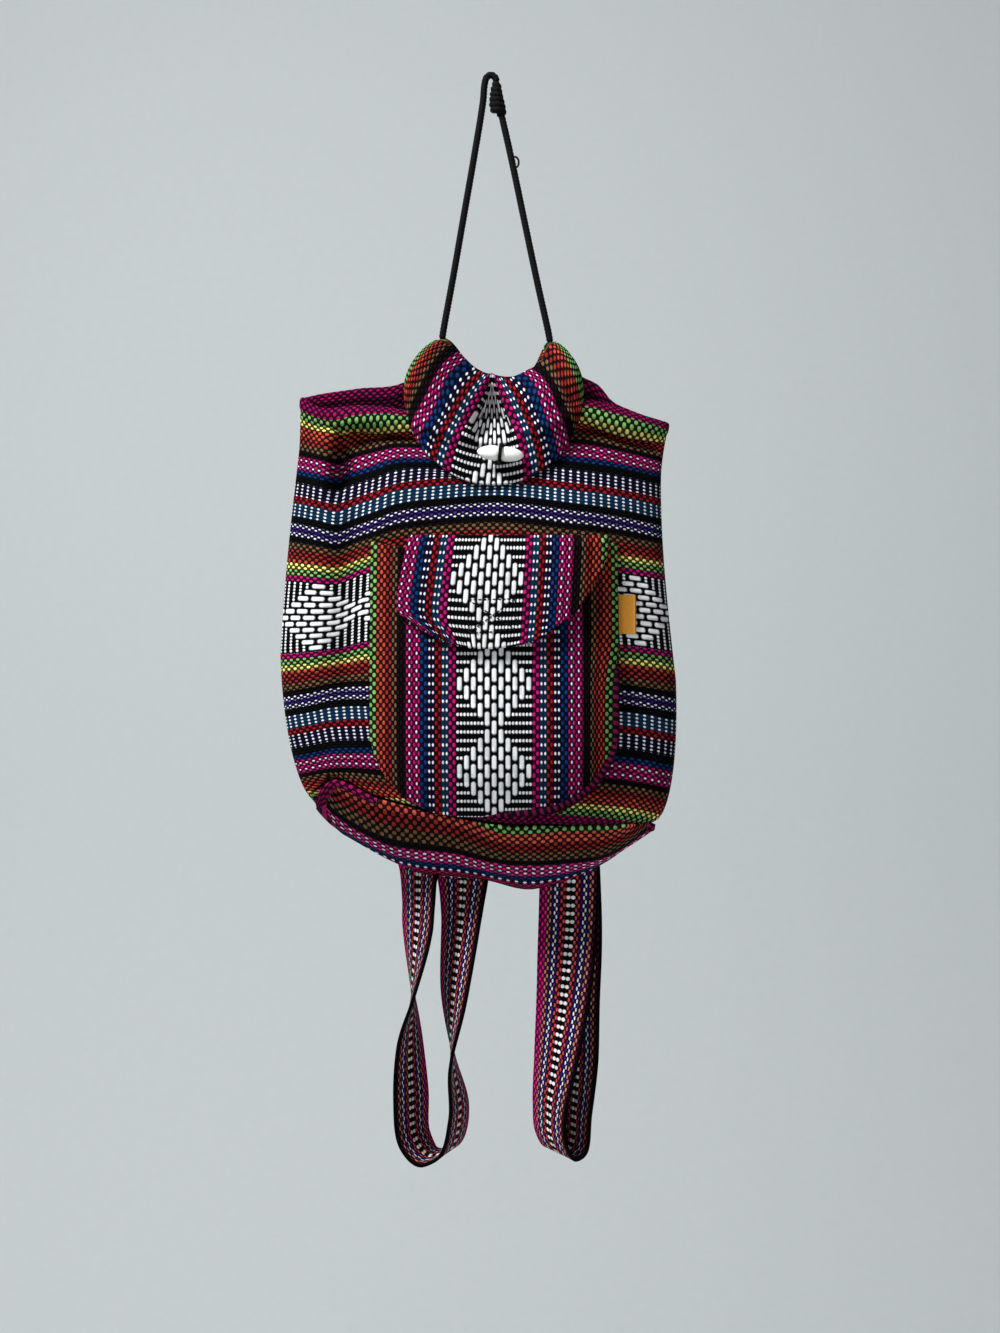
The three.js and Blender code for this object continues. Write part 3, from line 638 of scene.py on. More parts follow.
# The front's folds: where they lie, as q or t, and how deep they are in mm
GASH_LEFT_Q, GASH_RIGHT_Q, GASH_WIDTH, GASH_T, GASH_DEPTH = -0.59, 0.76, 0.19, 0.067, 14
FOLD_Q, FOLD_DEPTH, VALLEY_Q, VALLEY_DEPTH, VALLEY_LIP = -0.65, 6, -0.735, 13, 7
CASING_T, CASING_DEPTH = 0.035, 4


def gash(q):
    """Where along the rim the cloth is creased under the drawstring's casing."""
    return bump(q, GASH_LEFT_Q, GASH_WIDTH) + bump(q, GASH_RIGHT_Q, GASH_WIDTH)


def drape(q, t):
    """An upright fold and a hollow at the left, the casing, and creases under it."""
    reach = smooth((t - 0.15) / 0.2) * smooth((0.85 - t) / 0.2)
    fold = FOLD_DEPTH * (bump(q, FOLD_Q, 0.085) - 0.35 * bump(q, -0.82, 0.09)) * reach
    valley = VALLEY_DEPTH * bump(q, VALLEY_Q, np.where(q < VALLEY_Q, 0.055, 0.18))
    below_rim = smooth((t - 0.05) / 0.03) * smooth((0.3 - t) / 0.14)
    fold = fold + (valley - VALLEY_LIP * bump(q, -0.85, 0.06)) * below_rim
    casing = CASING_DEPTH * bump(t, CASING_T, 0.02) * (1.5 * gash(q) + rounded(q, 0.5))
    return fold + GASH_DEPTH * gash(q) * bump(t, GASH_T, 0.017) - casing


def front_point(q, t, inset):
    z = mix(RIM_Z + rim_front(q), SEAM_Z + seam_front(q) + inset, t)
    flat = side_y(t) - (front_depth(t) - inset) * rounded(q, FRONT_POWER)
    deepest = side_y(t) + back_depth(t) * rounded(q, BACK_POWER) - 2.2 * CLOTH
    y = np.minimum(flat + drape(q, t), np.maximum(flat, deepest))
    return stacked(centre_x(t) + (half_width(t) - inset) * q, y, z)


def back_point(q, t, inset):
    z = mix(RIM_Z + rim_back(q), SEAM_Z + seam_back(q) + inset, t)
    y = side_y(t) + (back_depth(t) - inset) * rounded(q, BACK_POWER)
    return stacked(centre_x(t) + (half_width(t) - inset) * q, y, z)


def surface_y(panel, rim, seam, x, z):
    """Where a line from front to back at (x, z) meets the front or the back of the sack."""
    t = np.full(np.broadcast(x, z).shape, 0.5)
    for _ in range(8):
        q = np.clip((x - centre_x(t)) / half_width(t), -0.98, 0.98)
        t = np.clip((RIM_Z + rim(q) - z) / (RIM_Z + rim(q) - SEAM_Z - seam(q)), 0, 1)
    return panel(q, t, 0)[..., 1]


def front_y(x, z):
    return surface_y(front_point, rim_front, seam_front, x, z)


def back_y(x, z):
    return surface_y(back_point, rim_back, seam_back, x, z)


FRAME_MIDDLE = (500, 666)


def pixel(points):
    """Where in the photo's frame a point is seen, in its pixels."""
    scale = PIXEL * (1 + points[..., 1] / -EYE[1])
    right, up = (points[..., 0] - EYE[0]) / scale, (points[..., 2] - EYE[2]) / scale
    return FRAME_MIDDLE[0] + right, FRAME_MIDDLE[1] - up


# The stripes' course across the front, in photo pixels: the upper zigzag, the diamonds and the lower zigzag
upper_zigzag = through([
    (278, 527), (293, 530), (317, 535), (335, 539), (350, 534), (375, 526), (393, 519), (427, 514),
    (492, 509.5), (531, 512), (571, 517), (610, 522), (641, 528), (680, 537),
])
diamond_line = through([(278, 619), (330, 618), (348, 613), (366, 606), (492, 603), (625, 609), (680, 615)])
lower_zigzag = through([(282, 705), (309, 700), (330, 695.5), (366, 694), (492, 694), (623, 698), (680, 707)])
ZIGZAG, STRIPE_HALF, RIM_BLEND = 85.0, 208.0, 0.15
PICK = 2.7


def stripe_seen(q, t):
    """How far a point of the front is from the middle of the diamonds, in photo pixels across the stripes."""
    x, y = pixel(front_point(q, t, 0))
    up, mid, low = upper_zigzag(x), diamond_line(x), lower_zigzag(x)
    inner = np.where(y < mid, (y - mid) / (mid - up), (y - mid) / (low - mid)) * ZIGZAG
    # The lowest stripes close up at the left, and lie lower under the pocket
    below = (y - low) * mix(1.03, 0.92, np.clip((x - 300) / 360, 0, 1))
    below = below + 0.35 * np.maximum(y - low - 74, 0) * smooth((338 - x) / 24)
    below = below - smooth((y - low - 60) / 30) * (2.5 * smooth((x - 460) / 60) + 6 * bump(x, 402, 42))
    return np.where(y < up, y - up - ZIGZAG, np.where(y > low, below + ZIGZAG, inner))


def front_stripe(q, t):
    near = stripe_seen(q, np.full_like(t, RIM_BLEND))
    return np.where(t < RIM_BLEND, mix(-STRIPE_HALF, near, t / RIM_BLEND), stripe_seen(q, t))


BODY_COLUMNS, BELLY_ROW, BODY_PICKS = 112, 74, 80
HEM_T, HEM_SOFT, RIM_ROUND, SHADED_INSIDE_T = 0.034, 0.012, 0.008, 0.14


def make_body():
    i = np.arange(2 * BODY_COLUMNS + 1)
    front = i <= BODY_COLUMNS
    q = -np.cos(math.pi * i / BODY_COLUMNS)
    t = np.r_[0, 0.0016, 0.004, RIM_ROUND, np.linspace(0.014, 0.13, 28), np.linspace(0.138, 1, 104)]
    t, q = np.broadcast_arrays(t[:, None], q)
    down = t * BODY_HEIGHT
    points = np.where(front[:, None], front_point(q, t, CLOTH / 2), back_point(q, t, CLOTH / 2))
    run = distance_along(points[BELLY_ROW, :, :2])
    hem = smooth((HEM_T - t) / HEM_SOFT)
    lean = np.where(front, -1, 1) * rounded(q, BACK_POWER)
    gather = np.sin(run / 6.5 + 1.7 * np.sin(run / 31)) * bump(t, CASING_T, 0.05)
    uneven = 0.9 * waves(run, down, 3, 60) + 0.45 * waves(run, down, 4, 22)
    uneven = uneven * smooth(t / 0.08) * smooth((1 - t) / 0.05)
    points[..., 1] += lean * (0.7 * gather + uneven + 0.5 * hem)
    points[..., 2] -= 3 * gash(q) * bump(t, 0.046, 0.014) * front
    left, right = (front_stripe(np.full_like(t, side), t) for side in (-1.0, 1.0))
    sides = mix(left, right, (q + 1) / 2)
    back = mix(sides, STRIPE_HALF * (2 * t - 1), rounded(q, 0.5))
    stripe = np.where(front, front_stripe(q, t), back)
    first, later = np.interp([-0.81, 0.83], q[0, : BODY_COLUMNS + 1], run[: BODY_COLUMNS + 1])
    pick = (run - first) / (later - first) * BODY_PICKS + 0.5
    uv = stacked(pick, rows_at(stripe, BODY_BANDS))
    # Inside near the rim: the turned-in hem, then dark magenta rows that are painted shade on the sack's
    # inside
    inside_weave_with_shade = uv.copy()
    turned_hem_and_shade_rows = rows_at(-STRIPE_HALF + 8 - down / PIXEL, BODY_BANDS)
    inside_weave_with_shade[..., 1] = np.where(t < SHADED_INSIDE_T, turned_hem_and_shade_rows, uv[..., 1])
    thick = CLOTH * (1 + 0.7 * hem) * lip(t / RIM_ROUND)
    return shell("body_cloth_panel", points[:, :-1], uv, thick[:, :-1], body_cloth, wrap=True, inside_weave_with_shade=inside_weave_with_shade)


sewn(make_body(), "woven_cloth", "body_panel",
     flat=(0.56, 0.30), held="gathered", rests_on=["drawstring_left", "drawstring_right"])


# The oval base, tipped forward, with a bound edge
def base_point(q, s, drop):
    q, s = np.broadcast_arrays(q, s)
    seam = np.ones(q.shape)
    points = mix(front_point(q, seam, 0), back_point(q, seam, 0), s[..., None])
    sag = BASE_SAG * np.sin(math.pi * s) * rounded(q, BACK_POWER)
    points[..., 1] -= 0.5 * sag
    points[..., 2] -= SEAM_GAP + drop + 0.87 * sag
    return points


# The base's stripes: the photo row where its black band ends and how far the stripes spread above it,
# by photo column, and where from side to side its magenta edge is turned up
base_line = through([
    (318, 795), (335, 812.8), (365, 832), (395, 844), (453, 851), (505, 862), (571, 861), (610, 853),
    (655, 822),
])
base_spread = through([
    (335, 0.82), (395, 0.62), (453, 0.76), (505, 1), (575, 1), (610, 1.3), (636, 2.3), (655, 2.6),
])
base_turn = through([(-1, 1), (-0.72, 1), (-0.5, 0), (0, 0), (0.93, 0), (0.97, 1), (1, 1)])
BASE_TOP, BASE_TOP_LEFT, TURNED_WIDTH = 35.0, 27.0, 4.0
LEFT_END, LEFT_END_SIZE, BASE_INSET = (350, 804), (24, 21), 0.03


def make_base():
    q = -0.995 * np.cos(math.pi * np.linspace(0, 1, 160))[None, :]
    s = lines(60, BASE_INSET)[:, None]
    points = base_point(q, s, CLOTH / 2)
    run = np.linalg.norm(np.diff(points, axis=0), axis=2)
    run = np.concatenate([np.zeros((1, q.size)), np.cumsum(run, axis=0)])
    points[..., 2] += 0.5 * waves(points[..., 0], run, 7, 38) * np.sin(math.pi * s)
    x, y = pixel(points)
    above = y - base_line(x)
    first = np.argmax(above > 0, axis=0)
    crossing = np.take_along_axis(run, first[None, :], 0)
    seen = np.maximum(above * base_spread(x), mix(-BASE_TOP_LEFT, -BASE_TOP, smooth((x - 470) / 30)))
    across = np.where(run < crossing, seen, (run - crossing) / PIXEL * 0.6)
    out = np.hypot((x - LEFT_END[0]) / LEFT_END_SIZE[0], (y - LEFT_END[1]) / LEFT_END_SIZE[1])
    left_end = smooth((out - 0.97) / 0.08) * (x < LEFT_END[0]) * smooth((828 - y) / 8)
    turned = np.maximum(base_turn(q) * smooth((TURNED_WIDTH - run) / 1.2), left_end)
    turned_rows = row_count(BASE_BANDS) - 7.5 + np.minimum(run / 1.8, 7)
    bands = np.where(turned > 0.5, turned_rows, rows_at(across + BASE_TOP, BASE_BANDS))
    front_lip, right = smooth((0.2 - s) / 0.2), smooth(q / 0.4)
    points[..., 1] -= 1.2 * turned + mix(0.8, 1.5, right) * front_lip
    points[..., 2] += mix(1.2, 2.4, right) * front_lip
    uv = stacked(points[..., 0] / PICK, bands)
    return shell("base_cloth_panel", points, uv, CLOTH * (1 + 0.6 * turned) * edge(s, BASE_INSET), base_cloth)


sewn(make_base(), "woven_cloth", "base_panel",
     flat=(0.22, 0.078), area=0.0125, held="stretched", rests_on=["body_panel"])


# The top flap: a runs across it and w from its root on the back rim down to its free edge
FLAP_DROP, FLAP_WIDTH, FLAP_PUFF, FLAP_PLEAT, FLAP_SHOULDER = 97.0, 115.0, 15.0, 24.0, 35.0
PLEAT_HALF, RIM_CLEAR, HALF_CLOTH_PX = 0.33, 6.0, 127.0
FLAP_HORN, FLAP_TURN, FLAP_EDGE_X, FLAP_INSET = 5.0, math.radians(98), 2.5, 0.014
flap_root_x = through([
    (-1, EXIT_LEFT - FLAP_HORN), (-0.86, EXIT_LEFT), (-PLEAT_HALF, flap_middle - 6),
    (PLEAT_HALF, flap_middle + 1), (0.86, EXIT_RIGHT), (1, EXIT_RIGHT + FLAP_HORN),
])


def flap_point(a, w):
    a, w = np.broadcast_arrays(a, w)
    rim, aside, to_go = np.zeros_like(a), np.abs(a), 1 - w
    root_x = flap_root_x(a)
    seat = FLAP_SEAT * (1 + 0.5 * bump(a, 0, PLEAT_HALF) + 0.55 * bump(aside, 2 * PLEAT_HALF, 0.1))
    root_z = RIM_Z + rim_back(exit_q(root_x)) + SEAM_GAP + CLOTH / 2 + seat
    edge_x = FLAP_EDGE_X + FLAP_WIDTH / 2 * np.sin(FLAP_TURN * a)
    edge_z = -HANG_DROP - FLAP_SHOULDER - (FLAP_DROP - FLAP_SHOULDER) * np.cos(FLAP_TURN * a)
    x = mix(root_x, edge_x, 1 - to_go**1.5)
    z = mix(root_z, edge_z, w) - 3.4 * bump(aside, 0.88, 0.13) * to_go**3
    wing = np.sin(math.pi * (0.86 * aside) ** 0.7) * np.sin(math.pi * w**0.8)
    recess = np.minimum(smooth((a + 0.25) / 0.15), smooth((0.23 - a) / 0.07))
    pleat = recess * (1 - smooth((w - 0.25) / 0.6)) * smooth(w / 0.12)
    above = z - RIM_Z - rim_front(exit_q(x))
    rest = front_y(x, z - np.maximum(above, 0)) - SEAM_GAP - CLOTH
    root_y = back_point(exit_q(root_x), rim, CLOTH / 2)[..., 1]
    hang = mix(root_y, rest, 1 - to_go**2.6)
    mouth = back_point(exit_q(x), rim, CLOTH)[..., 1] - SEAM_GAP - CLOTH
    loose = hang - FLAP_PUFF * wing
    pleated = np.minimum(loose + FLAP_PLEAT * pleat, np.maximum(loose, mouth))
    y = np.where(above < RIM_CLEAR, np.minimum(pleated, rest), pleated)
    return np.stack([x, y, z], -1)


def make_flap():
    a = 2 * lines(150, FLAP_INSET)[None, :] - 1
    w = lines(80, FLAP_INSET)[:, None]
    aside = np.abs(a)
    points = flap_point(a, w)
    points[..., 1] += 0.35 * waves(a * 78, w * 100, 11, 24) * np.sin(math.pi * w)
    picks = (w - 0.81) * mix(27, 22.5, smooth((aside - 0.28) / 0.3)) + 10.5
    upper = np.interp(aside, [0, 0.2, 0.608, 0.685, 1], [0, 36, 70, 83.4, HALF_CLOTH_PX])
    lower = aside**0.9 * HALF_CLOTH_PX
    cloth = np.sign(a) * mix(upper, lower, smooth((w - 0.15) / 0.5)) + 6.5 * w
    over = smooth((aside - 0.74) / 0.08) * smooth((0.075 - w) / 0.03)
    cloth = mix(cloth, np.sign(a) * (HALF_CLOTH_PX - 7), over)
    uv = stacked(picks, rows_at(cloth, POCKET_BANDS))
    thick = CLOTH * edge((a + 1) / 2, FLAP_INSET) * edge(w, FLAP_INSET)
    return shell("top_flap_cloth", points, uv, thick, pocket_cloth)


sewn(make_flap(), "woven_cloth", "top_flap",
     flat=(0.157, 0.112), area=0.0118, held="draped", rests_on=["body_panel"])

# The pocket: how far its cloth stands off the front of the sack
POCKET_WIDTH, POCKET_HEIGHT, POCKET_CORNER, POCKET_DROP = 157.0, 174.0, 58.0, 91.0
POCKET_PUFF, POCKET_MOUTH_DIP, POCKET_X = 13.0, 10.0, 3.0
PATCH_LAYERS = 2 * 1.2 + 3 * 0.4
POCKET_DIAMOND_Z, POCKET_TURN_Z, POCKET_TURN, TURN_LENGTH = -451.7, -365.0, 2.8, 40
# The size of a photo pixel at the pocket, in mm
NEAR = 0.9436 * PIXEL
pocket_top = RIM_Z - POCKET_DROP
pocket_half = POCKET_WIDTH / 2
pocket_puff = through([(0, 0.78), (0.4, 1), (0.8, 0.85), (1, 0)])


def pocket_length(x):
    into = np.clip((np.abs(x) - (pocket_half - POCKET_CORNER)) / POCKET_CORNER, 0, 1)
    return POCKET_HEIGHT - POCKET_CORNER * (1 - np.sqrt(1 - into * into))


def pocket_mouth(x):
    return pocket_top - POCKET_MOUTH_DIP * (1 - np.clip(np.abs(x) / pocket_half, 0, 1) ** 2)


def pocket_lift(x, z):
    side = np.clip(np.abs(x) / pocket_half, 0, 1)
    down = np.clip((pocket_mouth(x) - z) / (pocket_mouth(x) - pocket_top + pocket_length(x)), 0, 1)
    return SEAM_GAP + POCKET_PUFF * (1 - side**4) ** 0.8 * pocket_puff(down)


def on_front(x, z, lift):
    x, z, lift = np.broadcast_arrays(POCKET_X + x, z, lift)
    return np.stack([x, front_y(x, z) - lift, z], -1)


def make_pocket():
    x = pocket_half * np.sin(math.pi / 2 * (2 * lines(110, 0.02) - 1))[None, :]
    w = lines(120, 0.012)[:, None]
    z = mix(pocket_mouth(x), pocket_top - pocket_length(x), np.sin(math.pi / 2 * w))
    points = on_front(x, z, pocket_lift(x, z) + CLOTH / 2)
    points[..., 1] += 0.5 * waves(x, z, 21, 34) * np.sin(math.pi * w)
    inside = np.minimum(pocket_half - x, (z - pocket_top + pocket_length(x)) * 0.8)
    # The turned edge at the lower right, which grows from nothing at both its ends; its dark magenta rows are
    # painted shade
    low = smooth((POCKET_TURN_Z - z) / TURN_LENGTH)
    taper = smooth((x + 14) / TURN_LENGTH) * low
    turned = smooth(POCKET_TURN * taper - inside)
    points[..., 1] -= POCKET_TURN * turned * taper
    cloth = x / NEAR * 0.95
    plain = rows_at(cloth + 7 * smooth((cloth - 86) / 20) * low, POCKET_BANDS)
    shaded_edge_rows = row_count(POCKET_BANDS) - 5.5 + np.maximum(inside, 0) / 1.8
    rows = np.where(turned > 0.4, shaded_edge_rows, plain)
    picks = np.where(turned > 0.4, x + z, z - POCKET_DIAMOND_Z) / PICK + 0.5
    thick = CLOTH * (1 + 0.7 * turned) * edge((x / pocket_half + 1) / 2, 0.012) * edge(w, 0.012)
    return shell("pocket_cloth_panel", points, np.stack([picks, rows], -1), thick, pocket_cloth)


sewn(make_pocket(), "woven_cloth", "pocket_panel",
     flat=(0.165, 0.19), area=0.028, held="gathered", rests_on=["body_panel"])

# The pocket's flap, cut on a slant at the right and turned under at the left
POCKET_FLAP_HEIGHT, FLAP_TOP_PX, FLAP_HEIGHT_PX, FLAP_HALF_PX = 73.0, 537, 113.5, 83.4
FLAP_PICKS, FLAP_DIAMOND_W = 26.4, 0.405
pocket_flap_top = pocket_top + 4
flap_left = through([(0, -84), (0.61, -90), (0.79, -87), (0.87, -77), (1, -60)])
flap_right = through([(0, 121), (0.2, 119), (0.45, 107), (0.7, 92), (0.85, 73), (1, 52)])
flap_line = through([(0, 491), (1, 484)])


def pocket_flap_point(a, w, over_cloth):
    """A point of the pocket's flap and how far across its cloth it is, in photo pixels."""
    a, w = np.broadcast_arrays(a, w)
    cloth = np.where(a < 0, -a * flap_left(w), a * flap_right(w))
    x = EYE[0] + (flap_line(w) + cloth - FRAME_MIDDLE[0]) * NEAR - POCKET_X
    z = pocket_flap_top - POCKET_FLAP_HEIGHT * w * (1 - np.where(a < 0, 0.16, 0.07) * a * a * w)
    over = smooth((pocket_flap_top - z) / (0.85 * (pocket_flap_top - pocket_mouth(x))))
    resting = pocket_lift(x, z) + CLOTH + mix(SEAM_GAP, PATCH_LAYERS, smooth(w / 0.6))
    curl = 2.2 * smooth((np.abs(a) - 0.5) / 0.5) * w**3
    across = np.where(a < 0, a * FLAP_HALF_PX, cloth)
    return on_front(x, z, mix(SEAM_GAP, resting, over) + over_cloth + curl), across


def make_pocket_flap():
    a = 2 * lines(110, 0.016)[None, :] - 1
    w = lines(60, 0.02)[:, None]
    points, across = pocket_flap_point(a, w, CLOTH / 2)
    points[..., 1] += 0.4 * waves(points[..., 0], points[..., 2], 31, 26) * w
    uv = stacked((w - FLAP_DIAMOND_W) * FLAP_PICKS + 0.5, rows_at(across, POCKET_BANDS))
    thick = CLOTH * edge((a + 1) / 2, 0.016) * edge(w, 0.02)
    return shell("pocket_flap_cloth", points, uv, thick, pocket_cloth)


sewn(make_pocket_flap(), "woven_cloth", "pocket_flap",
     flat=(0.135, 0.075), area=0.0088, held="draped", rests_on=["pocket_panel"])


# Stitching that holds the fastening: a box with a cross in it, in photo pixels
STITCH_BOX = [(468, 603), (515, 602), (517, 633), (469, 635)]
STITCH_ROWS = [(0, 1), (1, 2), (2, 3), (3, 0), (0, 2), (1, 3)]
STITCH_LENGTH, STITCH_GAP, STITCH_THICK = 2.4, 0.6, 0.85


def on_pocket_flap(pixels):
    w = (pixels[:, 1] - FLAP_TOP_PX) / FLAP_HEIGHT_PX
    cloth = pixels[:, 0] - flap_line(w)
    a = np.where(cloth < 0, -cloth / flap_left(w), cloth / flap_right(w))
    return pocket_flap_point(a, w, CLOTH + 0.1)[0]


def make_stitching():
    """Short round stitches, end to end along lines that lie on the cloth."""
    corner = np.array(STITCH_BOX, float)
    shape = np.array([0.3, 0.75, 0.95, 1, 0.95, 0.75, 0.3])
    radius = STITCH_THICK / 2 * np.tile(shape[:, None], 8)
    vertices, faces = np.zeros((0, 3)), []
    for start, end in STITCH_ROWS:
        spots = on_pocket_flap(mix(corner[start], corner[end], np.linspace(0, 1, 80)[:, None]))
        run = distance_along(spots)
        for low in np.arange(0.2, run[-1] - STITCH_LENGTH, STITCH_LENGTH + STITCH_GAP):
            s = np.linspace(low, low + STITCH_LENGTH, shape.size)
            path = np.stack([np.interp(s, run, spots[:, k]) for k in range(3)], -1)
            path[:, 1] -= 0.25 * np.sin(np.linspace(0, math.pi, shape.size))
            side = unit(np.cross(path[-1:] - path[:1], [0, 1, 0]))
            points, sides = tube(path, side, np.array([[0, -1, 0]]), radius)
            faces += [face + len(vertices) for face in sides]
            vertices = np.concatenate([vertices, points])
    return piece("pocket_flap_stitching", vertices, faces, None, thread)


stitching = make_stitching()
belongs(stitching, "bag", "cord")

# The plain tag in the pocket's seam, and the fastening under the flap
TAG_WIDTH, TAG_HEIGHT, TAG_BELOW = 11.0, 25.0, 34.0
tag_x = pocket_half + SEAM_GAP + TAG_WIDTH * lines(10, 0.06)[None, :]
tag_z = pocket_top - TAG_BELOW - TAG_HEIGHT * lines(18, 0.03)[:, None]
tag_grid = np.broadcast_arrays(tag_x, tag_z)
curl = 1.1 * np.linspace(0, 1, tag_x.size)[None, :] ** 2
tag_points = on_front(*tag_grid, SEAM_GAP + 0.5 + curl)
tag_cloth = tape_material("tag_tape", colour(216, 152, 46), colour(176, 108, 26), 0.9)
tag = shell("label_tag_tape", tag_points, np.stack(tag_grid, -1), 1.0, tag_cloth)
sewn(tag, "tag", "label_tag", flat=(0.011, 0.025), held="hung", rests_on=["body_panel"])
for name, scale in (("pocket_loop_patch", 2200.0), ("pocket_hook_patch", 1400.0)):
    pile = grained(name + "_pile", (4, 4, 6), (46, 44, 50), scale, 0.0008, 0.9, roughness=0.9, sheen=0.3)
    frame["nodes"][name].material_slots[0].material = pile

# The shoulder straps: ribbons along stations (x, y, z, turn)
STRAP_WIDTH, STRAP_THICKNESS, STRAP_LOOP, STRAP_TOP, BASE_TIP = 40.0, 2.2, 190.0, 6.0, 40.0


def loop_z(share):
    return SEAM_Z - BASE_TIP - share * STRAP_LOOP


def panel_z(share):
    return mix(RIM_Z - STRAP_TOP, SEAM_Z, share)


def behind(across, z, layer=0.0, turn=0.0):
    """A station flat against the back, layer by layer, with across in strap widths."""
    x = across * STRAP_WIDTH
    backs = back_y(x + np.array([-0.5, 0, 0.5]) * STRAP_WIDTH, np.full(3, z))
    off = 1.5 * SEAM_GAP + STRAP_THICKNESS / 2 + layer * (STRAP_THICKNESS + SEAM_GAP)
    return (x, backs.max() + off, z, turn)


def hanging(across, out, share, turn):
    """A station of the hanging loop, with across and out in strap widths and share down the loop."""
    return (across * STRAP_WIDTH, BACK_Y + out * STRAP_WIDTH, loop_z(share), turn)


# Each strap's stations: sewn on at the back, down the loop and up again to where it is sewn at the base
strap_left = [behind(across, panel_z(share)) for across, share in (
    (-0.5, 0), (-0.55, 0.24), (-0.6, 0.545), (-0.575, 0.77), (-0.5, 1))]
strap_left += [behind(-0.475, loop_z(-0.1), 1, -10)]
strap_left += [hanging(*station) for station in (
    (-0.465, 0.17, 0.05, -36), (-0.49, 0.15, 0.158, -48), (-0.61, 0.15, 0.432, -64),
    (-0.635, 0.15, 0.658, -92), (-0.52, 0.1, 0.832, -107), (-0.675, 0.1, 0.962, -110),
    (-1.025, 0.15, 0.99, -112), (-1.265, 0.2, 0.93, -118), (-1.325, 0.225, 0.779, -122),
    (-1.35, 0.225, 0.579, -110), (-1.3, 0.2, 0.421, -86), (-1.225, 0.175, 0.211, -60),
    (-1.2, 0.18, 0.095, -55), (-1.2, 0.2, -0.01, -47))]
strap_left += [behind(-1.2, SEAM_Z - 0.5 * BASE_TIP, 0.5, -16)]
strap_right = [behind(across, panel_z(share)) for across, share in (
    (0.5, 0), (0.7, 0.24), (0.95, 0.545), (1.2, 0.77), (1.325, 1))]
strap_right += [behind(1.325, loop_z(-0.1), 1)]
strap_right += [hanging(*station) for station in (
    (1.375, 0.225, 0.158, -6), (1.4, 0.35, 0.432, -30), (1.45, 0.4, 0.658, -46),
    (1.425, 0.4, 0.832, -58), (1.35, 0.35, 0.968, -60), (1.175, 0.275, 0.984, -60),
    (1.02, 0.175, 0.926, -60), (0.99, 0.1, 0.816, -58), (1.1, 0.05, 0.632, -45),
    (1.21, 0.025, 0.432, -30), (1.29, 0.05, 0.211, -12), (1.32, 0.05, 0.042, -3))]
strap_right += [behind(1.325, SEAM_Z - 0.8 * BASE_TIP), behind(1.325, SEAM_Z - 0.55 * BASE_TIP)]


def make_strap(name, stations, nodes):
    stations = np.array(stations, float)
    w = lines(300, 0.004)
    a = 2 * lines(24, 0.035)[None, :, None] - 1
    place = soft_curve(stations[:, :3])
    path = place(w)
    tangent = unit(place(np.minimum(w + 0.001, 1)) - place(np.maximum(w - 0.001, 0)))
    turn = np.radians(through(list(zip(np.linspace(0, 1, len(stations)), stations[:, 3])))(w))
    side = np.stack([np.cos(turn), np.sin(turn), 0 * turn], -1)
    side = unit(side - tangent * np.sum(side * tangent, axis=1, keepdims=True))
    points = path[:, None] + side[:, None] * a * STRAP_WIDTH / 2
    run = distance_along(path)
    share = (a[..., 0] + 1) / 2
    span = sum(band[1] for band in STRAP_BANDS)
    uv = stacked(run[:, None] / PICK, rows_at(share * span, STRAP_BANDS))
    thick = STRAP_THICKNESS * edge(share, 0.035) * edge(w, 0.004)[:, None]
    strap = shell(name + "_webbing", points, uv, thick, strap_cloth)
    sewn(strap, "strap_webbing", *nodes,
         flat=(STRAP_WIDTH * MM, run[-1] * MM), held="hung", rests_on=["body_panel"])


make_strap("strap_left", strap_left, ["strap_left"])
make_strap("strap_right", strap_right, ["strap_right", "strap_right_front"])

# The toggle turns on its cord in front of the flap
TOGGLE_LENGTH, TOGGLE_DIAMETER, TOGGLE_WAIST, TOGGLE_CORD, TOGGLE_STANDOFF = 30.0, 10.0, 8.0, 2.4, 5.0
toggle_joint = frame["joints"][0]
toggle_pivot = np.array(toggle_joint["pos_m"]) / MM
toggle_axis = np.array(toggle_joint["axis"])
toggle_out = -CLOTH / 2 - TOGGLE_STANDOFF - TOGGLE_DIAMETER / 2
TOGGLE_TILT = math.radians(6)


def at_toggle(points):
    """From the toggle's own frame, its length along x and the flap along +y, to the bag's frame."""
    x, y, z = np.asarray(points, float).T
    c, s = math.cos(TOGGLE_TILT), math.sin(TOGGLE_TILT)
    x, z = c * x + s * z, c * z - s * x
    y = y + toggle_out
    upright = np.cross([1, 0, 0], toggle_axis)
    return toggle_pivot + np.outer(x, [1, 0, 0]) + np.outer(y, toggle_axis) + np.outer(z, upright)


def make_toggle():
    stations, around = 48, 40
    k = np.arange(1, stations)
    length = -np.cos(math.pi * k / stations)
    radius = TOGGLE_DIAMETER / 2 * (1 - np.abs(length) ** 2.6) ** 0.55
    radius = radius - (TOGGLE_DIAMETER - TOGGLE_WAIST) / 2 * bump(length, 0, 0.14)
    turn = angles(around)
    out = radius[:, None]
    rings = stacked(TOGGLE_LENGTH / 2 * length[:, None], out * np.cos(turn), out * np.sin(turn))
    ends = [[-TOGGLE_LENGTH / 2, 0, 0], [TOGGLE_LENGTH / 2, 0, 0]]
    index = numbered(rings.shape[0], around)
    tip = index.max() + 1
    faces = [*corners(index)]
    faces += [[tip, index[0, i + 1], index[0, i]] for i in range(around)]
    faces += [[tip + 1, index[-1, i], index[-1, i + 1]] for i in range(around)]
    vertices = at_toggle(np.vstack([rings.reshape(-1, 3), ends]))
    return piece("toggle_bead", vertices, faces, None, toggle_material("toggle_white"))


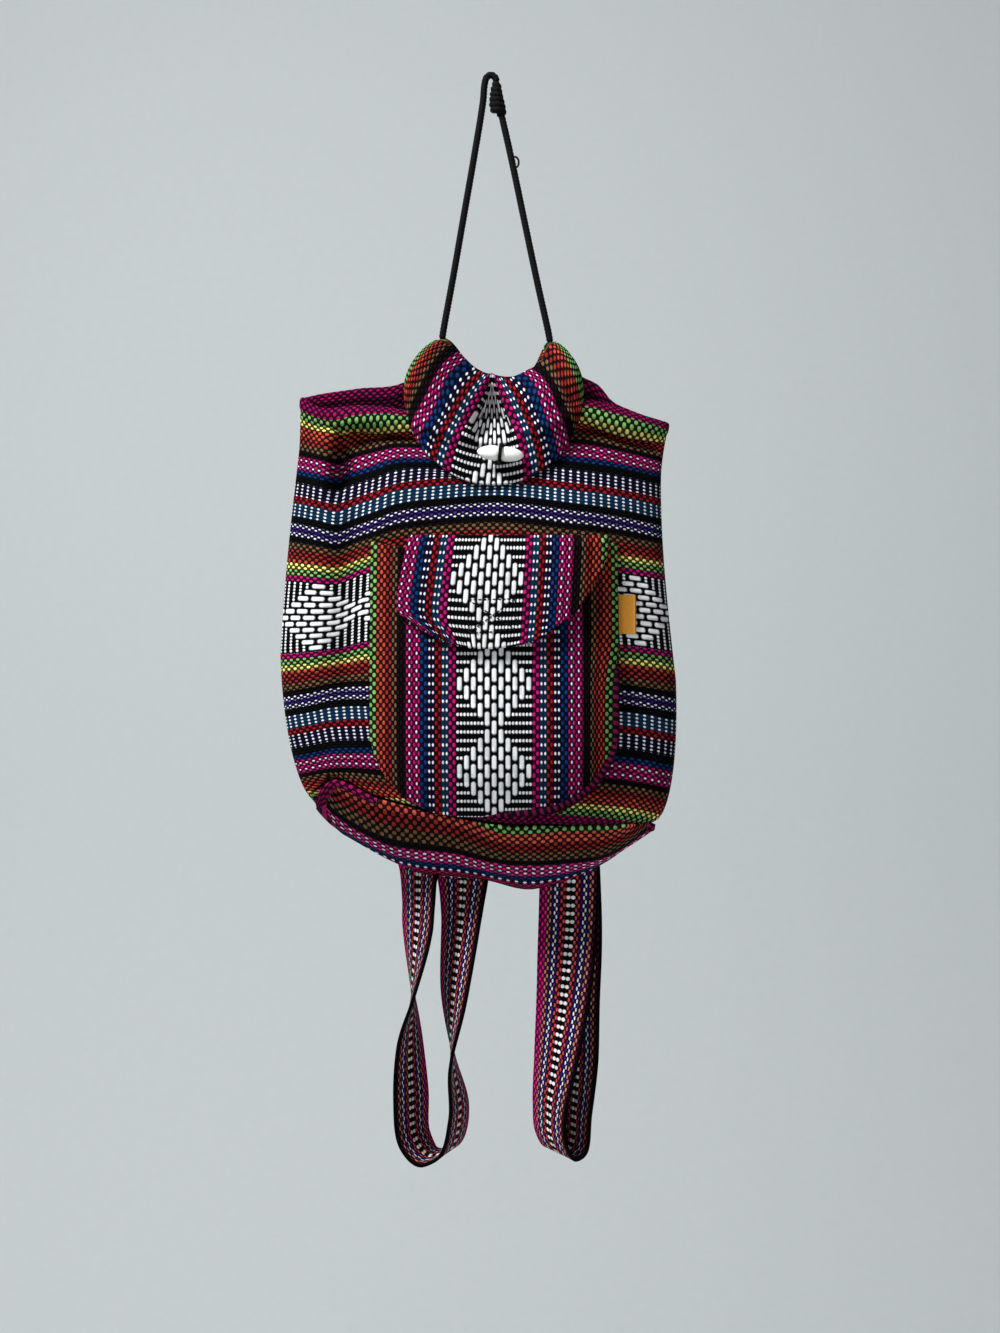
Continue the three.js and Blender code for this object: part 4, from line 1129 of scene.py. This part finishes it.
toggle = make_toggle()
belongs(toggle, "toggle", "toggle", "toggle")
loop_radius = TOGGLE_WAIST / 2 + TOGGLE_CORD / 2 + 0.5
loop_leg = TOGGLE_CORD / 2 + 0.3
loop_start = -toggle_out - CLOTH / 2 - 2.8 * SEAM_GAP
round_waist = np.radians(np.arange(50, 311, 26))
loop_route = [(0, loop_start, loop_leg)]
loop_route += [(0, loop_radius * math.cos(t), loop_radius * math.sin(t)) for t in round_waist]
loop_route += [(0, loop_start, -loop_leg)]
loop, loop_path, loop_length = rope(
    "toggle_loop", at_toggle(loop_route), TOGGLE_CORD, STRANDS, 4.2, black_cord, sides=14, pitch=0.4)
belongs(loop, "toggle", "cord", "toggle_cord")


# Floor, soft light and the room's pale colour
profile = [(-5.0, -1.6), (1.4, -1.6)]
profile += [(1.4 + math.sin(t), -0.6 - math.cos(t)) for t in np.linspace(0.1, math.pi / 2, 16)]
profile += [(2.4, 4.0)]
vertices = [(x, y, z) for y, z in profile for x in (-6.0, 6.0)]
faces = [(2 * i, 2 * i + 1, 2 * i + 3, 2 * i + 2) for i in range(len(profile) - 1)]
paint = grained(
    "stage_paint", (216, 221, 222), (222, 226, 227), 60.0, 0.0006, 0.2, roughness=0.9, specular=0.1)
piece("stage_floor", np.array(vertices) / MM, faces, None, paint)


def area_light(name, place, aim, size, power):
    data = bpy.data.lights.new(name, "AREA")
    data.shape = "DISK"
    data.size = size
    data.energy = power
    light = bpy.data.objects.new(name, data)
    light.location = place
    direction = np.array(aim) - np.array(place)
    light.rotation_euler = (
        math.atan2(math.hypot(direction[0], direction[1]), -direction[2]), 0,
        math.atan2(direction[1], direction[0]) - math.pi / 2,
    )
    scene.collection.objects.link(light)


area_light("key_light", (-1.35, -1.05, 1.4), (0, 0, -0.4), 0.7, 100.0)
area_light("fill_light", (0.5, -1.8, -0.7), (0, 0, -0.55), 1.2, 7.0)
world = bpy.data.worlds.new("room")
world.use_nodes = True
background = world.node_tree.nodes["Background"].inputs
background["Color"].default_value = colour(214, 220, 222)
background["Strength"].default_value = 0.3
scene.world = world
scene.view_settings.view_transform = "Standard"
